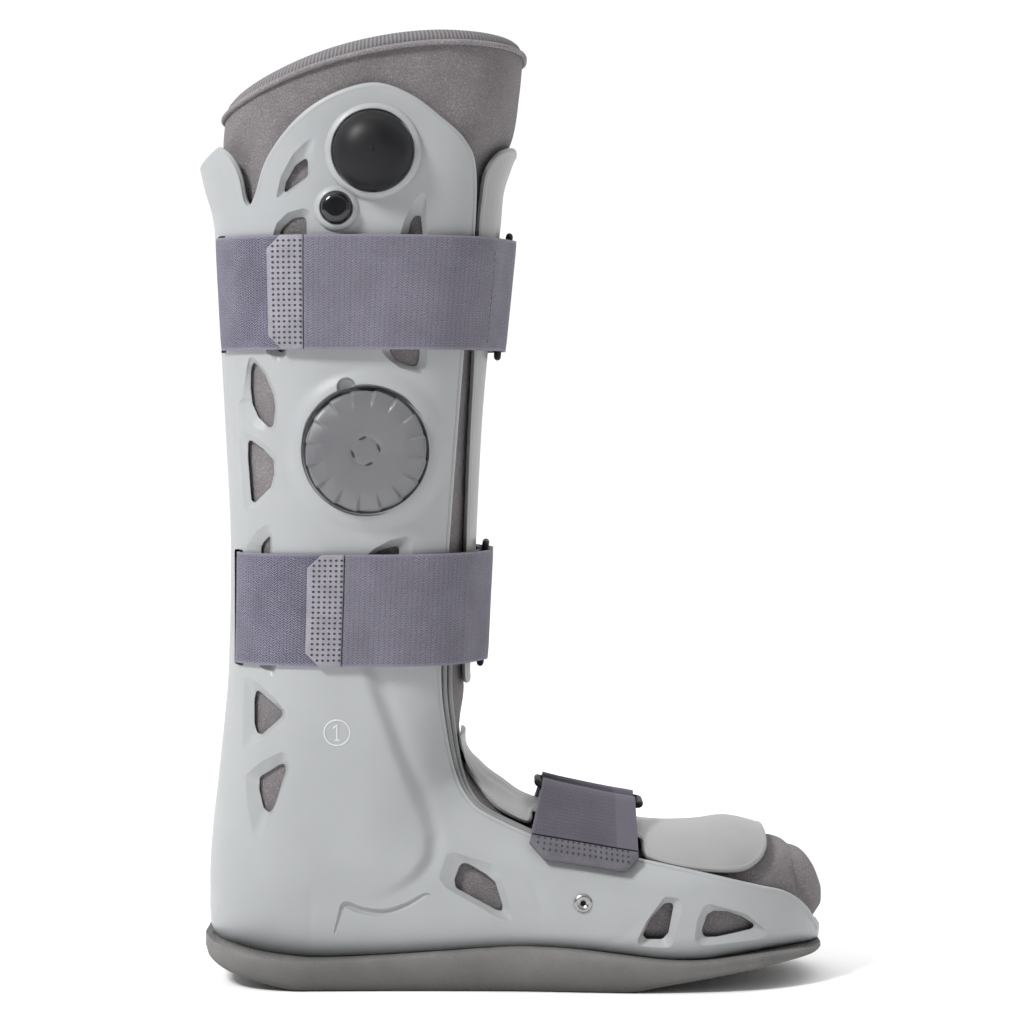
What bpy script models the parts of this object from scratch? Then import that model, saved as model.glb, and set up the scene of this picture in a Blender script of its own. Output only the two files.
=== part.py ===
"""Medical walking boot: a hard rear shell and two hard front panels over a padded liner.

Metres, +Z up, toe towards +X, the pump side towards -Y. The origin is on the ground under
the middle of the sole, and the boot stands there by itself.
"""

import math
from collections import namedtuple

import bmesh
import bpy
from mathutils import Vector

# Driving dimensions of the whole boot
BOOT_LENGTH = 0.286
BOOT_HEIGHT = 0.428
LEG_WIDTH = 0.140
FOOT_WIDTH = 0.110

# Walls and the gap that the pieces keep to each other
SHELL_WALL = 0.0030
PANEL_WALL = 0.0025
LINER_WALL = 0.0090
CLEARANCE = 0.0005
COLLAR_FLARE = 0.0080
SOLE_LIP = 0.0015
SOLE_TAPER = 0.0040
SOLE_BEVEL = 0.25

# Webbing and the loop rings that it passes through
STRAP_WIDTH = 0.0500
STRAP_THICKNESS = 0.0018
SEAT_GAP = 0.0007
FOOT_STRAP_WIDTH = 0.0450
RING_BAR = 0.0032
RING_SPAN = 0.0240
RING_MARGIN = 0.0040
RING_FOLD_GAP = 0.0005
FOOT_RING_LIFT = 0.0040
TAB_LENGTH = 0.0160
FOOT_TAB_LENGTH = 0.0100
TAB_CHAMFER = 0.0060
SLOT_WIDTH = 0.0048

# Pump bulb, release button and selector dial on the near side
BULB_DIAMETER = 0.0360
BULB_RISE = 0.0130
BUTTON_DIAMETER = 0.0138
BUTTON_RISE = 0.0050
BUTTON_TRAVEL = 0.0015
DIAL_DIAMETER = 0.0554
DIAL_THICKNESS = 0.0070
DIAL_FLUTES = 16
DIAL_FLUTE_DEPTH = 0.00055
DIAL_GAP = 0.0009
# The dial's side view: how far out, and how wide, as shares of its thickness and radius
DIAL_PROFILE = ((0.0, 1.0), (0.62, 1.0), (0.88, 0.93), (1.0, 0.62), (1.0, 0.30))
BOSS_RISE = 0.0020
BOSS_WALL = 0.0020
RUNNING_GAP = 0.0004

# Rivets that hold the foot strap inside the shell
RIVET_DIAMETER = 0.0084
RIVET_HEAD = 0.0012
RIVET_SHANK = 0.0040
RIVET_TIP_GAP = 0.0003

PIPING_DIAMETER = 0.0030
WINDOW_CORNER = 0.0022

# Distances out from the surface that a strap lies on, which follow from the sizes above
UNDER_OUT = SEAT_GAP + STRAP_THICKNESS / 2
OVER_OUT = UNDER_OUT + STRAP_THICKNESS + CLEARANCE
FOLD_RADIUS = RING_BAR / 2 + RING_FOLD_GAP + STRAP_THICKNESS / 2
RING_OUT = UNDER_OUT + FOLD_RADIUS
BAR_AT = RING_SPAN / 2
BUTTON_DEPTH = BUTTON_TRAVEL + BOSS_RISE

# How finely the solids are divided, and how far a cutter reaches past the boot
RING_POINTS = 24
ARC_POINTS = 192
TURNED_SIDES = 20
SMALL_SIDES = 12
PIPING_POINTS = 24
FILLET_STEPS = 2
MARGIN = 0.050

# One section of the boot's outer surface, in metres: its front or top end, its back or lower
# end, half its width, how square each half is, how far the collar stands back from the liner
# there, and how far the middle of the section rises above its ends.
Section = namedtuple(
    "Section", "front_x front_z back_x back_z width front_square back_square flare crown"
)

# In the tables below, places are shares of BOOT_LENGTH and BOOT_HEIGHT, widths are shares of
# LEG_WIDTH or FOOT_WIDTH, and flare is a share of COLLAR_FLARE.
# Leg: height, back, front, width, flare
LEG_ROWS = (
    (0.946, -0.472, 0.010, 1.021, 1.00),
    (0.911, -0.472, 0.010, 1.019, 1.00),
    (0.886, -0.472, 0.009, 1.014, 1.00),
    (0.867, -0.472, -0.001, 1.010, 0.95),
    (0.841, -0.472, -0.013, 1.004, 0.65),
    (0.806, -0.472, -0.018, 0.993, 0.15),
    (0.748, -0.471, -0.027, 0.979, 0.00),
    (0.607, -0.460, -0.047, 0.929, 0.00),
    (0.467, -0.451, -0.058, 0.857, 0.00),
    (0.339, -0.455, -0.067, 0.793, 0.00),
)

# Heel and foot: front_x, front_z, back_x, back_z, width, squareness of the underside
FOOT_ROWS = (
    (-0.066, 0.306, -0.462, 0.280, 0.982, 2.5),
    (-0.072, 0.280, -0.473, 0.213, 0.964, 2.5),
    (-0.075, 0.259, -0.483, 0.154, 0.955, 2.5),
    (-0.073, 0.246, -0.487, 0.098, 0.945, 2.5),
    (-0.065, 0.237, -0.479, 0.047, 0.927, 2.6),
    (-0.054, 0.230, -0.420, 0.026, 0.909, 3.0),
    (-0.038, 0.220, -0.332, 0.019, 0.900, 3.5),
    (-0.017, 0.210, -0.231, 0.020, 0.891, 3.8),
    (0.014, 0.195, -0.112, 0.026, 0.891, 4.0),
    (0.052, 0.185, 0.007, 0.030, 0.909, 4.0),
    (0.112, 0.176, 0.098, 0.030, 0.945, 4.0),
    (0.175, 0.168, 0.175, 0.026, 0.982, 4.0),
    (0.238, 0.163, 0.238, 0.021, 1.000, 4.0),
    (0.297, 0.164, 0.297, 0.022, 0.991, 4.0),
    (0.346, 0.168, 0.350, 0.028, 0.945, 4.0),
    (0.392, 0.162, 0.392, 0.033, 0.855, 4.0),
    (0.427, 0.153, 0.427, 0.035, 0.745, 3.6),
    (0.455, 0.143, 0.455, 0.036, 0.618, 3.2),
    (0.476, 0.129, 0.476, 0.037, 0.473, 3.0),
    (0.489, 0.105, 0.489, 0.038, 0.309, 2.6),
    (0.495, 0.079, 0.495, 0.039, 0.145, 2.4),
)
LEG_FRONT_SQUARE = 3.0
LEG_BACK_SQUARE = 2.5
FOOT_TOP_SQUARE = 2.3
HEEL_ROWS = 6
FIRST_UPRIGHT_ROW = 7

# Which rows the other pieces use: counted from the top of the leg, from the first foot row,
# back from the toe or, for the liner's inside, from the liner's own first row
LINER_SKIPPED_LEG_ROWS = 5
LINER_SKIPPED_TOE_ROWS = 5
LINER_TUCK_ROW = 6
LINER_INNER_ROWS = (0, 3, 6, 9, 12, 16, 20)
SHIN_PANEL_FOOT_ROWS = 2
FOOT_PANEL_SKIPPED_TOE_ROWS = 3

# Liner above the shell's straight part: front_x, front_z, back_x, back_z, width, crown of the rim
LINER_TOP_ROWS = (
    (0.017, 0.981, -0.457, 0.914, 0.965, 0.026),
    (0.012, 0.946, -0.460, 0.895, 0.960, 0.016),
    (0.001, 0.900, -0.461, 0.874, 0.953, 0.007),
    (-0.028, 0.853, -0.462, 0.843, 0.945, 0.002),
)
# Liner's closed toe, ahead of the shell's sides: front_x, front_z, back_x, back_z, width
LINER_TOE_ROWS = (
    (0.425, 0.146, 0.427, 0.048, 0.650),
    (0.455, 0.137, 0.455, 0.050, 0.535),
    (0.473, 0.129, 0.474, 0.055, 0.395),
    (0.488, 0.114, 0.487, 0.065, 0.275),
    (0.498, 0.096, 0.497, 0.074, 0.140),
)
# Rolled rim: how far in from the liner's face, and up, as shares of its wall
RIM_ROLL = ((0.10, 0.45), (0.50, 0.72), (0.90, 0.45))

# Rear shell's free edge, from the collar over the wing, down the front and along the foot
SHELL_EDGE = (
    (-0.458, 0.879), (-0.436, 0.868), (-0.421, 0.849), (-0.413, 0.824), (-0.402, 0.816),
    (-0.391, 0.827), (-0.371, 0.864), (-0.330, 0.900), (-0.278, 0.925), (-0.212, 0.938),
    (-0.158, 0.927), (-0.112, 0.905), (-0.075, 0.882), (-0.060, 0.850), (-0.066, 0.760),
    (-0.080, 0.667), (-0.095, 0.540), (-0.107, 0.430), (-0.116, 0.335), (-0.109, 0.275),
    (-0.095, 0.226), (-0.072, 0.196), (-0.037, 0.178), (0.041, 0.156), (0.137, 0.143),
    (0.300, 0.122), (0.389, 0.107), (0.430, 0.098), (0.462, 0.081), (0.486, 0.055),
)
# Shin panel's edge on the near side, from its flared tip to its lower end
SHIN_EDGE = (
    (0.001, 0.881), (-0.022, 0.872), (-0.040, 0.853), (-0.047, 0.825), (-0.052, 0.788),
    (-0.059, 0.665), (-0.066, 0.577), (-0.072, 0.464), (-0.075, 0.338), (-0.071, 0.318),
)
# Foot panel's edge: down from the ankle, a notch that clears the strap, then the toe end
FOOT_EDGE = (
    (-0.079, 0.262), (-0.070, 0.235), (-0.050, 0.209), (-0.020, 0.188), (0.024, 0.174),
    (0.036, 0.181), (0.110, 0.167), (0.200, 0.156), (0.214, 0.140), (0.280, 0.130),
    (0.352, 0.128), (0.383, 0.135), (0.398, 0.146), (0.401, 0.156),
)
# Vent windows that go through both sides of the shell
WINDOWS = {
    "top_rear": ((-0.315, 0.870), (-0.316, 0.844), (-0.354, 0.830), (-0.348, 0.844), (-0.329, 0.862)),
    "strap_rear": ((-0.319, 0.808), (-0.318, 0.773), (-0.360, 0.773), (-0.356, 0.797)),
    "top_front": ((-0.140, 0.808), (-0.138, 0.770), (-0.166, 0.770), (-0.155, 0.800)),
    "mid_front": ((-0.192, 0.677), (-0.143, 0.677), (-0.148, 0.654), (-0.183, 0.661)),
    "mid_rear_upper": ((-0.403, 0.659), (-0.407, 0.623), (-0.397, 0.604), (-0.375, 0.588),
                       (-0.370, 0.622), (-0.384, 0.643)),
    "mid_rear_lower": ((-0.413, 0.576), (-0.410, 0.535), (-0.404, 0.511), (-0.376, 0.533),
                       (-0.371, 0.553), (-0.385, 0.564)),
    "low_rear": ((-0.377, 0.477), (-0.390, 0.465), (-0.390, 0.439), (-0.376, 0.439)),
    "low_front": ((-0.175, 0.468), (-0.218, 0.456), (-0.217, 0.439), (-0.175, 0.439)),
    "ankle_rear_upper": ((-0.403, 0.314), (-0.405, 0.274), (-0.394, 0.267), (-0.363, 0.286),
                         (-0.381, 0.302)),
    "ankle_rear_lower": ((-0.355, 0.235), (-0.396, 0.226), (-0.382, 0.184), (-0.363, 0.208)),
    "midfoot": ((-0.086, 0.135), (-0.090, 0.113), (-0.066, 0.101), (-0.014, 0.084),
                (-0.025, 0.120), (-0.047, 0.130)),
    "toe_rear": ((0.254, 0.096), (0.237, 0.095), (0.203, 0.056), (0.239, 0.057), (0.249, 0.075)),
    "toe_front": ((0.312, 0.087), (0.297, 0.057), (0.345, 0.061), (0.381, 0.070), (0.353, 0.081)),
}

# Outsole: place along the boot, line where the shell enters it, underside, width
SOLE_ROWS = (
    (-0.490, 0.051, 0.034, 0.30),
    (-0.482, 0.049, 0.029, 0.50),
    (-0.466, 0.046, 0.023, 0.66),
    (-0.440, 0.043, 0.016, 0.78),
    (-0.400, 0.037, 0.009, 0.87),
    (-0.346, 0.033, 0.001, 0.905),
    (-0.310, 0.032, 0.000, 0.900),
    (-0.220, 0.035, 0.000, 0.890),
    (-0.112, 0.040, 0.000, 0.890),
    (0.007, 0.046, 0.000, 0.909),
    (0.098, 0.044, 0.000, 0.950),
    (0.180, 0.038, 0.000, 0.985),
    (0.238, 0.034, 0.007, 1.000),
    (0.297, 0.033, 0.014, 0.991),
    (0.350, 0.036, 0.020, 0.950),
    (0.392, 0.038, 0.024, 0.870),
    (0.427, 0.039, 0.027, 0.755),
    (0.455, 0.039, 0.029, 0.630),
    (0.476, 0.038, 0.030, 0.485),
    (0.489, 0.0375, 0.031, 0.330),
    (0.496, 0.037, 0.0315, 0.180),
)

# Places of the fittings: share of the length and height, or of the height alone for a strap
BULB_PLACE = (-0.212, 0.872)
BUTTON_PLACE = (-0.268, 0.814)
DIAL_PLACE = (-0.224, 0.566)
RIVET_PLACE = (0.111, 0.094)
UPPER_STRAP_HEIGHT = 0.7285
LOWER_STRAP_HEIGHT = 0.4005
FOOT_STRAP_START = 0.040
UPPER_SLOT = -0.455
LOWER_SLOT = -0.430
UPPER_TAB_END = -0.367
LOWER_TAB_END = -0.314
FAR_TAB_REACH = 0.030
FOOT_TAB_REACH = 0.034

Y = Vector((0.0, 1.0, 0.0))


def clear_scene():
    for old in list(bpy.data.objects):
        bpy.data.objects.remove(old)


def material(name, colour, roughness, metallic=0.0):
    made = bpy.data.materials.new(name)
    made.use_nodes = True
    shader = made.node_tree.nodes["Principled BSDF"]
    shader.inputs["Base Color"].default_value = (*colour, 1.0)
    shader.inputs["Roughness"].default_value = roughness
    shader.inputs["Metallic"].default_value = metallic
    return made


def leg_section(height, back, front, width, flare):
    """A level section of the leg, in metres."""
    return Section(
        front * BOOT_LENGTH,
        height * BOOT_HEIGHT,
        back * BOOT_LENGTH,
        height * BOOT_HEIGHT,
        width * LEG_WIDTH / 2,
        LEG_FRONT_SQUARE,
        LEG_BACK_SQUARE,
        flare * COLLAR_FLARE,
        0.0,
    )


def foot_section(front_x, front_z, back_x, back_z, width, square, front_square=FOOT_TOP_SQUARE):
    """A section of the heel or foot, which swings round from level to upright."""
    return Section(
        front_x * BOOT_LENGTH,
        front_z * BOOT_HEIGHT,
        back_x * BOOT_LENGTH,
        back_z * BOOT_HEIGHT,
        width * FOOT_WIDTH / 2,
        front_square,
        square,
        0.0,
        0.0,
    )


def envelope():
    """The sections of the boot's outer surface, from the top of the leg to the toe."""
    rows = [leg_section(*row) for row in LEG_ROWS]
    for index, row in enumerate(FOOT_ROWS):
        blend = min(index / HEEL_ROWS, 1.0)
        front_square = LEG_FRONT_SQUARE + (FOOT_TOP_SQUARE - LEG_FRONT_SQUARE) * blend
        rows.append(foot_section(*row, front_square))
    return rows


def smooth_values(before, start, end, after, share):
    """The numbers at this share of the way from start to end, on a smooth curve."""
    square, cube = share * share, share**3
    values = []
    for a, b, c, d in zip(before, start, end, after):
        values.append(
            b * (2 * cube - 3 * square + 1)
            + (c - a) / 2 * (cube - 2 * square + share)
            + c * (3 * square - 2 * cube)
            + (d - b) / 2 * (cube - square)
        )
    return tuple(values)


def section_at(rows, place):
    """The section at a place counted in rows, which may be a fraction."""
    last = len(rows) - 1
    index = min(int(place), last - 1)
    before = rows[max(index - 1, 0)]
    after = rows[min(index + 2, last)]
    return Section(*smooth_values(before, rows[index], rows[index + 1], after, place - index))


def place_where(rows, value_of, wanted, low, high):
    """The place between low and high where value_of(section) is the wanted value."""
    rising = value_of(section_at(rows, high)) > value_of(section_at(rows, low))
    for _ in range(40):
        middle = (low + high) / 2
        if (value_of(section_at(rows, middle)) > wanted) == rising:
            high = middle
        else:
            low = middle
    return (low + high) / 2


def power(value, exponent):
    return math.copysign(abs(value) ** exponent, value)


def section_ends(row):
    front = Vector((row.front_x, 0.0, row.front_z))
    back = Vector((row.back_x - row.flare, 0.0, row.back_z))
    return front, back


def section_point(row, turn, out=0.0):
    """A point on the section's edge: turn 0 is its front or top, half a turn its back or sole."""
    front, back = section_ends(row)
    centre = (front + back) / 2
    axis = (front - back).normalized()
    reach = (front - back).length / 2 + out
    angle = turn * math.tau
    square = row.front_square if math.cos(angle) >= 0 else row.back_square
    along = power(math.cos(angle), 2 / square)
    across = power(math.sin(angle), 2 / square)
    point = centre + axis * (reach * along) + Y * ((row.width + out) * across)
    point.z += row.crown * (1 - along * along)
    return point


def section_ring(row, out=0.0, points=RING_POINTS):
    return [section_point(row, step / points, out) for step in range(points)]


def mesh_object(name, corners, faces, look, smooth=True):
    """An object from corners and faces, with its faces turned outwards."""
    mesh = bpy.data.meshes.new(name)
    mesh.from_pydata([tuple(corner) for corner in corners], [], faces)
    edit = bmesh.new()
    edit.from_mesh(mesh)
    bmesh.ops.recalc_face_normals(edit, faces=edit.faces)
    edit.to_mesh(mesh)
    edit.free()
    made = bpy.data.objects.new(name, mesh)
    bpy.context.scene.collection.objects.link(made)
    if look:
        mesh.materials.append(look)
    if smooth:
        mesh.shade_smooth()
        mesh.set_sharp_from_angle(angle=math.radians(40))
    return made


def loft(name, rings, look=None):
    """A closed solid through rings of equal count, capped at both ends."""
    count = len(rings[0])
    corners = [point for ring in rings for point in ring]
    faces = [tuple(range(count))]
    for level in range(len(rings) - 1):
        for step in range(count):
            following = (step + 1) % count
            low, high = level * count, (level + 1) * count
            faces.append((low + step, low + following, high + following, high + step))
    last = (len(rings) - 1) * count
    faces.append(tuple(range(last, last + count)))
    return mesh_object(name, corners, faces, look)


def prism(name, outline):
    """A cutter: an outline in X and Z, drawn right across the boot."""
    rings = [[Vector((x, y, z)) for x, z in outline] for y in (-LEG_WIDTH, LEG_WIDTH)]
    return cutter(loft(name, rings))


def cutter(made):
    made.hide_render = True
    made.display_type = "WIRE"
    return made


def boolean(target, tool, operation):
    change = target.modifiers.new(f"{operation.lower()} {tool.name}", "BOOLEAN")
    change.object = tool
    change.operation = operation
    change.solver = "EXACT"


def joined(name, parts):
    """Several closed cutters as one object."""
    corners, faces = [], []
    for part in parts:
        start = len(corners)
        corners += [part.matrix_world @ vertex.co for vertex in part.data.vertices]
        faces += [tuple(start + index for index in face.vertices) for face in part.data.polygons]
        bpy.data.objects.remove(part)
    return cutter(mesh_object(name, corners, faces, None))


def side_point(place):
    return place[0] * BOOT_LENGTH, place[1] * BOOT_HEIGHT


def smooth_line(places, steps=2):
    """A smooth open line through places given as shares of the length and height."""
    points = [side_point(place) for place in places]
    line = []
    for index in range(len(points) - 1):
        before = points[max(index - 1, 0)]
        after = points[min(index + 2, len(points) - 1)]
        for step in range(steps):
            line.append(smooth_values(before, points[index], points[index + 1], after, step / steps))
    line.append(points[-1])
    return line


def rounded(points, radius, steps=FILLET_STEPS):
    """The outline with each corner replaced by an arc, limited by the corner's sides."""
    outline = []
    count = len(points)
    for index in range(count):
        corner = Vector(points[index])
        to_before = Vector(points[index - 1]) - corner
        to_after = Vector(points[(index + 1) % count]) - corner
        half = to_before.angle(to_after) / 2
        reach = radius / math.tan(half)
        reach = min(reach, 0.45 * to_before.length, 0.45 * to_after.length)
        start = corner + to_before.normalized() * reach
        end = corner + to_after.normalized() * reach
        for step in range(steps):
            share = step / (steps - 1)
            inner = start.lerp(corner, share).lerp(corner.lerp(end, share), share)
            outline.append(tuple(inner))
    return outline


def side_width(rows, x, z):
    """How far out the shell's side stands at this place on the leg."""
    place = place_where(rows, lambda row: row.front_z, z, 0, len(LEG_ROWS) - 1)
    row = section_at(rows, place)
    back = row.back_x - row.flare
    reach = (row.front_x - back) / 2
    along = (x - (row.front_x + back) / 2) / reach
    square = row.front_square if along >= 0 else row.back_square
    return row.width * (1 - abs(along) ** square) ** (1 / square)


def circle(place, radius, y, sides=TURNED_SIDES):
    """A ring of points round a place on the side of the boot."""
    x, z = place
    turns = [math.tau * step / sides for step in range(sides)]
    return [Vector((x + radius * math.cos(turn), y, z + radius * math.sin(turn))) for turn in turns]


def disc(name, place, radius, low, high, sides=TURNED_SIDES):
    """A round tool across the boot, from low to high out from the middle of the near side."""
    return loft(name, [circle(place, radius, -out, sides) for out in (low, high)])


def dome(name, place, radius, low, high, look, levels):
    """A domed round piece on the near side with its base at low and its top at high."""
    rings = []
    for level in range(levels):
        angle = level / levels * math.pi / 2
        out = low + (high - low) * math.sin(angle)
        rings.append(circle(place, radius * math.cos(angle), -out))
    return loft(name, rings, look)


def rear_shell(rows, look):
    """Heel, sides and two wings in one moulding, 3 mm thick, with bosses, vents and slots."""
    shell = loft("rear_shell", [section_ring(row) for row in rows], look)
    hollow_rows = list(rows)
    raised = rows[0]._replace(
        front_z=rows[0].front_z + SHELL_WALL, back_z=rows[0].back_z + SHELL_WALL
    )
    hollow_rows[0] = raised
    hollow = cutter(
        loft("cut_hollow", [section_ring(row, -SHELL_WALL) for row in hollow_rows[:-1]])
    )
    bosses, pockets = [], []
    for name, place, radius, gap, depth in (
        ("bulb", BULB_PLACE, BULB_DIAMETER / 2, RUNNING_GAP, BOSS_RISE),
        ("button", BUTTON_PLACE, BUTTON_DIAMETER / 2, RUNNING_GAP, BUTTON_DEPTH),
        ("dial", DIAL_PLACE, DIAL_DIAMETER / 2, DIAL_GAP, BOSS_RISE),
    ):
        spot = side_point(place)
        side = side_width(rows, *spot)
        pocket_radius, top = radius + gap, side + BOSS_RISE
        bosses.append(disc(f"boss_{name}", spot, pocket_radius + BOSS_WALL, side / 2, top))
        pockets.append(disc(f"pocket_{name}", spot, pocket_radius, top - depth, top + BOSS_RISE))
    for boss in bosses:
        boolean(shell, cutter(boss), "UNION")
    boolean(shell, hollow, "DIFFERENCE")
    edge = smooth_line(SHELL_EDGE)
    beyond = BOOT_LENGTH / 2 + MARGIN
    collar_low = edge[0][1] - COLLAR_FLARE
    outline = edge + [
        (beyond, edge[-1][1]),
        (beyond, -MARGIN),
        (-beyond, -MARGIN),
        (-beyond, collar_low),
        (rows[0].back_x - rows[0].flare, collar_low),
    ]
    boolean(shell, prism("cut_outline", outline), "INTERSECT")
    holes = []
    for name, places in WINDOWS.items():
        corners = [side_point(place) for place in places]
        holes.append(prism(f"cut_{name}", rounded(corners, WINDOW_CORNER)))
    half_width, half_slot = STRAP_WIDTH / 2 + 2 * CLEARANCE, SLOT_WIDTH / 2
    for height, slot in ((UPPER_STRAP_HEIGHT, UPPER_SLOT), (LOWER_STRAP_HEIGHT, LOWER_SLOT)):
        x, z = side_point((slot, height))
        box = [
            (x - half_slot, z - half_width),
            (x + half_slot, z - half_width),
            (x + half_slot, z + half_width),
            (x - half_slot, z + half_width),
        ]
        holes.append(prism("cut_slot", box))
    spot, bore = side_point(RIVET_PLACE), RIVET_SHANK / 2 + CLEARANCE
    holes.append(disc("cut_shank", spot, bore, -FOOT_WIDTH, FOOT_WIDTH, SMALL_SIDES))
    boolean(shell, joined("cut_vents", holes), "DIFFERENCE")
    boolean(shell, joined("cut_pockets", pockets), "DIFFERENCE")
    return shell


def liner(rows, look):
    """Padded sock: closed toe, open top with a rolled rim, and room inside for the leg."""
    followed = liner_rows(rows)
    rings = [section_ring(row, -inset) for row, inset in reversed(followed)]
    top = liner_top()
    rings += [section_ring(row) for row in reversed(top[1:])]
    toe = [section_ring(row) for row in reversed(liner_toe())]
    rings = toe + rings + [section_ring(top[0])]
    for inward, up in RIM_ROLL:
        raised = top[0]._replace(
            front_z=top[0].front_z + up * LINER_WALL, back_z=top[0].back_z + up * LINER_WALL
        )
        rings.append(section_ring(raised, -inward * LINER_WALL))
    inner = [section_ring(top[0], -LINER_WALL)]
    inner += [section_ring(row, -LINER_WALL) for row in top[2:]]
    for index in LINER_INNER_ROWS:
        row, inset = followed[index]
        inner.append(section_ring(row, -inset - LINER_WALL))
    return loft("liner", rings + inner, look)


def liner_rows(rows):
    """The shell's sections that the liner follows, each with its distance in from the shell's
    face: from below the collar to the toe, with room for the strap's end along the foot."""
    tuck_from = len(LEG_ROWS) + LINER_TUCK_ROW
    followed = []
    for index in range(LINER_SKIPPED_LEG_ROWS, len(rows) - LINER_SKIPPED_TOE_ROWS):
        tuck = min(max(index - tuck_from, 0) / 2, 1.0) * (STRAP_THICKNESS + CLEARANCE)
        followed.append((rows[index]._replace(flare=0.0), SHELL_WALL + CLEARANCE + tuck))
    return followed


def liner_top():
    rows = []
    for *ends, width, crown in LINER_TOP_ROWS:
        row = foot_section(*ends, 0.0, LEG_BACK_SQUARE, LEG_FRONT_SQUARE)
        rows.append(row._replace(width=width * LEG_WIDTH / 2, crown=crown * BOOT_HEIGHT))
    return rows


def liner_toe():
    return [foot_section(*row, LEG_BACK_SQUARE) for row in LINER_TOE_ROWS]


def piping(look):
    """The cord sewn round the liner just under its rolled rim."""
    path = section_ring(liner_top()[0], PIPING_DIAMETER / 2 + CLEARANCE, PIPING_POINTS)
    curve = bpy.data.curves.new("liner_piping", "CURVE")
    curve.dimensions = "3D"
    curve.bevel_depth = PIPING_DIAMETER / 2
    curve.bevel_resolution = 1
    spline = curve.splines.new("POLY")
    spline.points.add(len(path) - 1)
    for point, place in zip(spline.points, path):
        point.co = (*place, 1.0)
    spline.use_cyclic_u = True
    made = bpy.data.objects.new("liner_piping", curve)
    bpy.context.scene.collection.objects.link(made)
    curve.materials.append(look)
    return made


def panel(name, rows, edge, beyond, look):
    """A hard panel cut from the outer surface, its edge given as seen from the side."""
    rings = [section_ring(row) for row in rows]
    rings += [section_ring(row, -PANEL_WALL) for row in reversed(rows)]
    count, levels = RING_POINTS, len(rings)
    faces = []
    for level in range(levels):
        low, high = level * count, (level + 1) % levels * count
        for step in range(count):
            following = (step + 1) % count
            faces.append((low + step, low + following, high + following, high + step))
    made = mesh_object(name, [point for loop in rings for point in loop], faces, look)
    boolean(made, prism(f"cut_{name}", smooth_line(edge) + beyond), "INTERSECT")


def shin_panel(rows, look):
    top, low = side_point(SHIN_EDGE[0]), side_point(SHIN_EDGE[-1])
    beyond = [(MARGIN, low[1]), (MARGIN, top[1])]
    used = rows[: len(LEG_ROWS) + SHIN_PANEL_FOOT_ROWS]
    panel("shin_panel", used, SHIN_EDGE, beyond, look)


def foot_panel(rows, look):
    start, end = side_point(FOOT_EDGE[0]), side_point(FOOT_EDGE[-1])
    used = rows[len(LEG_ROWS) : -FOOT_PANEL_SKIPPED_TOE_ROWS]
    panel("foot_panel", used, FOOT_EDGE, [(end[0], start[1])], look)


def outsole(rows, look):
    """Rubber sole: a rockered block that the shell's underside sinks into."""
    rings = []
    for along, line, under, width in SOLE_ROWS:
        x, top, low = along * BOOT_LENGTH, line * BOOT_HEIGHT, under * BOOT_HEIGHT
        half = width * FOOT_WIDTH / 2 + SOLE_LIP
        foot = half - min(SOLE_TAPER, half / 2)
        bevel = low + (top - low) * SOLE_BEVEL
        near = [(-foot / 2, top), (-half, top), (-half, bevel), (-foot, low)]
        far = [(-y, z) for y, z in reversed(near)]
        rings.append([Vector((x, y, z)) for y, z in near + far])
    sole = loft("outsole", rings, look)
    seat = [section_ring(row, CLEARANCE) for row in rows[len(LEG_ROWS) :]]
    boolean(sole, cutter(loft("cut_seat", seat)), "DIFFERENCE")
    return sole


def arc_line(row):
    """How far round a section each turn lies from its front or top, as (distance, turn)."""
    line, distance, last = [], 0.0, section_point(row, 0.0)
    for step in range(ARC_POINTS + 1):
        turn = 0.5 * (step / ARC_POINTS) ** 1.5
        point = section_point(row, turn)
        distance += (point - last).length
        last = point
        line.append((distance, turn))
    return line


def turn_at(line, distance):
    """The turn at this distance round a section; below zero is past the front or top."""
    if distance < 0:
        return -turn_at(line, -distance)
    for (d0, t0), (d1, t1) in zip(line, line[1:]):
        if distance <= d1:
            return t0 + (t1 - t0) * (distance - d0) / (d1 - d0)
    return line[-1][1]


def distance_where(row, line, passed):
    """The distance round the section at which its edge first passes a limit."""
    for distance, turn in line:
        if passed(section_point(row, turn)):
            return distance
    return line[-1][0]


def on_surface(row, turn, out, far=False):
    """The point at this turn on the near or far side, this far out from the surface."""
    side = 1.0 if far else -1.0
    nudge = 1e-4
    point = section_point(row, side * turn)
    along = section_point(row, side * (turn + nudge)) - section_point(row, side * (turn - nudge))
    front, back = section_ends(row)
    normal = along.cross((front - back).cross(Y)).normalized()
    if normal.dot(point - (front + back) / 2) < 0:
        normal = -normal
    return point + normal * out


def ribbon(name, path, levels, look, far=False):
    """A band of webbing. The path holds (distance, out) of its middle, measured round the
    middle level; levels are the sections from one edge of the band to the other."""
    line = arc_line(levels[len(levels) // 2])
    inner, outer = [], []
    for index, (distance, out) in enumerate(path):
        before = path[max(index - 1, 0)]
        after = path[min(index + 1, len(path) - 1)]
        along = Vector((after[0] - before[0], after[1] - before[1])).normalized()
        shift = Vector((-along.y, along.x)) * (STRAP_THICKNESS / 2)
        inner.append((distance + shift.x, out + shift.y))
        outer.append((distance - shift.x, out - shift.y))
    loop = [(turn_at(line, distance), out) for distance, out in inner + outer[::-1]]
    rings = [[on_surface(row, turn, out, far) for turn, out in loop] for row in levels]
    return loft_strip(name, rings, len(path), look)


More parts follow.
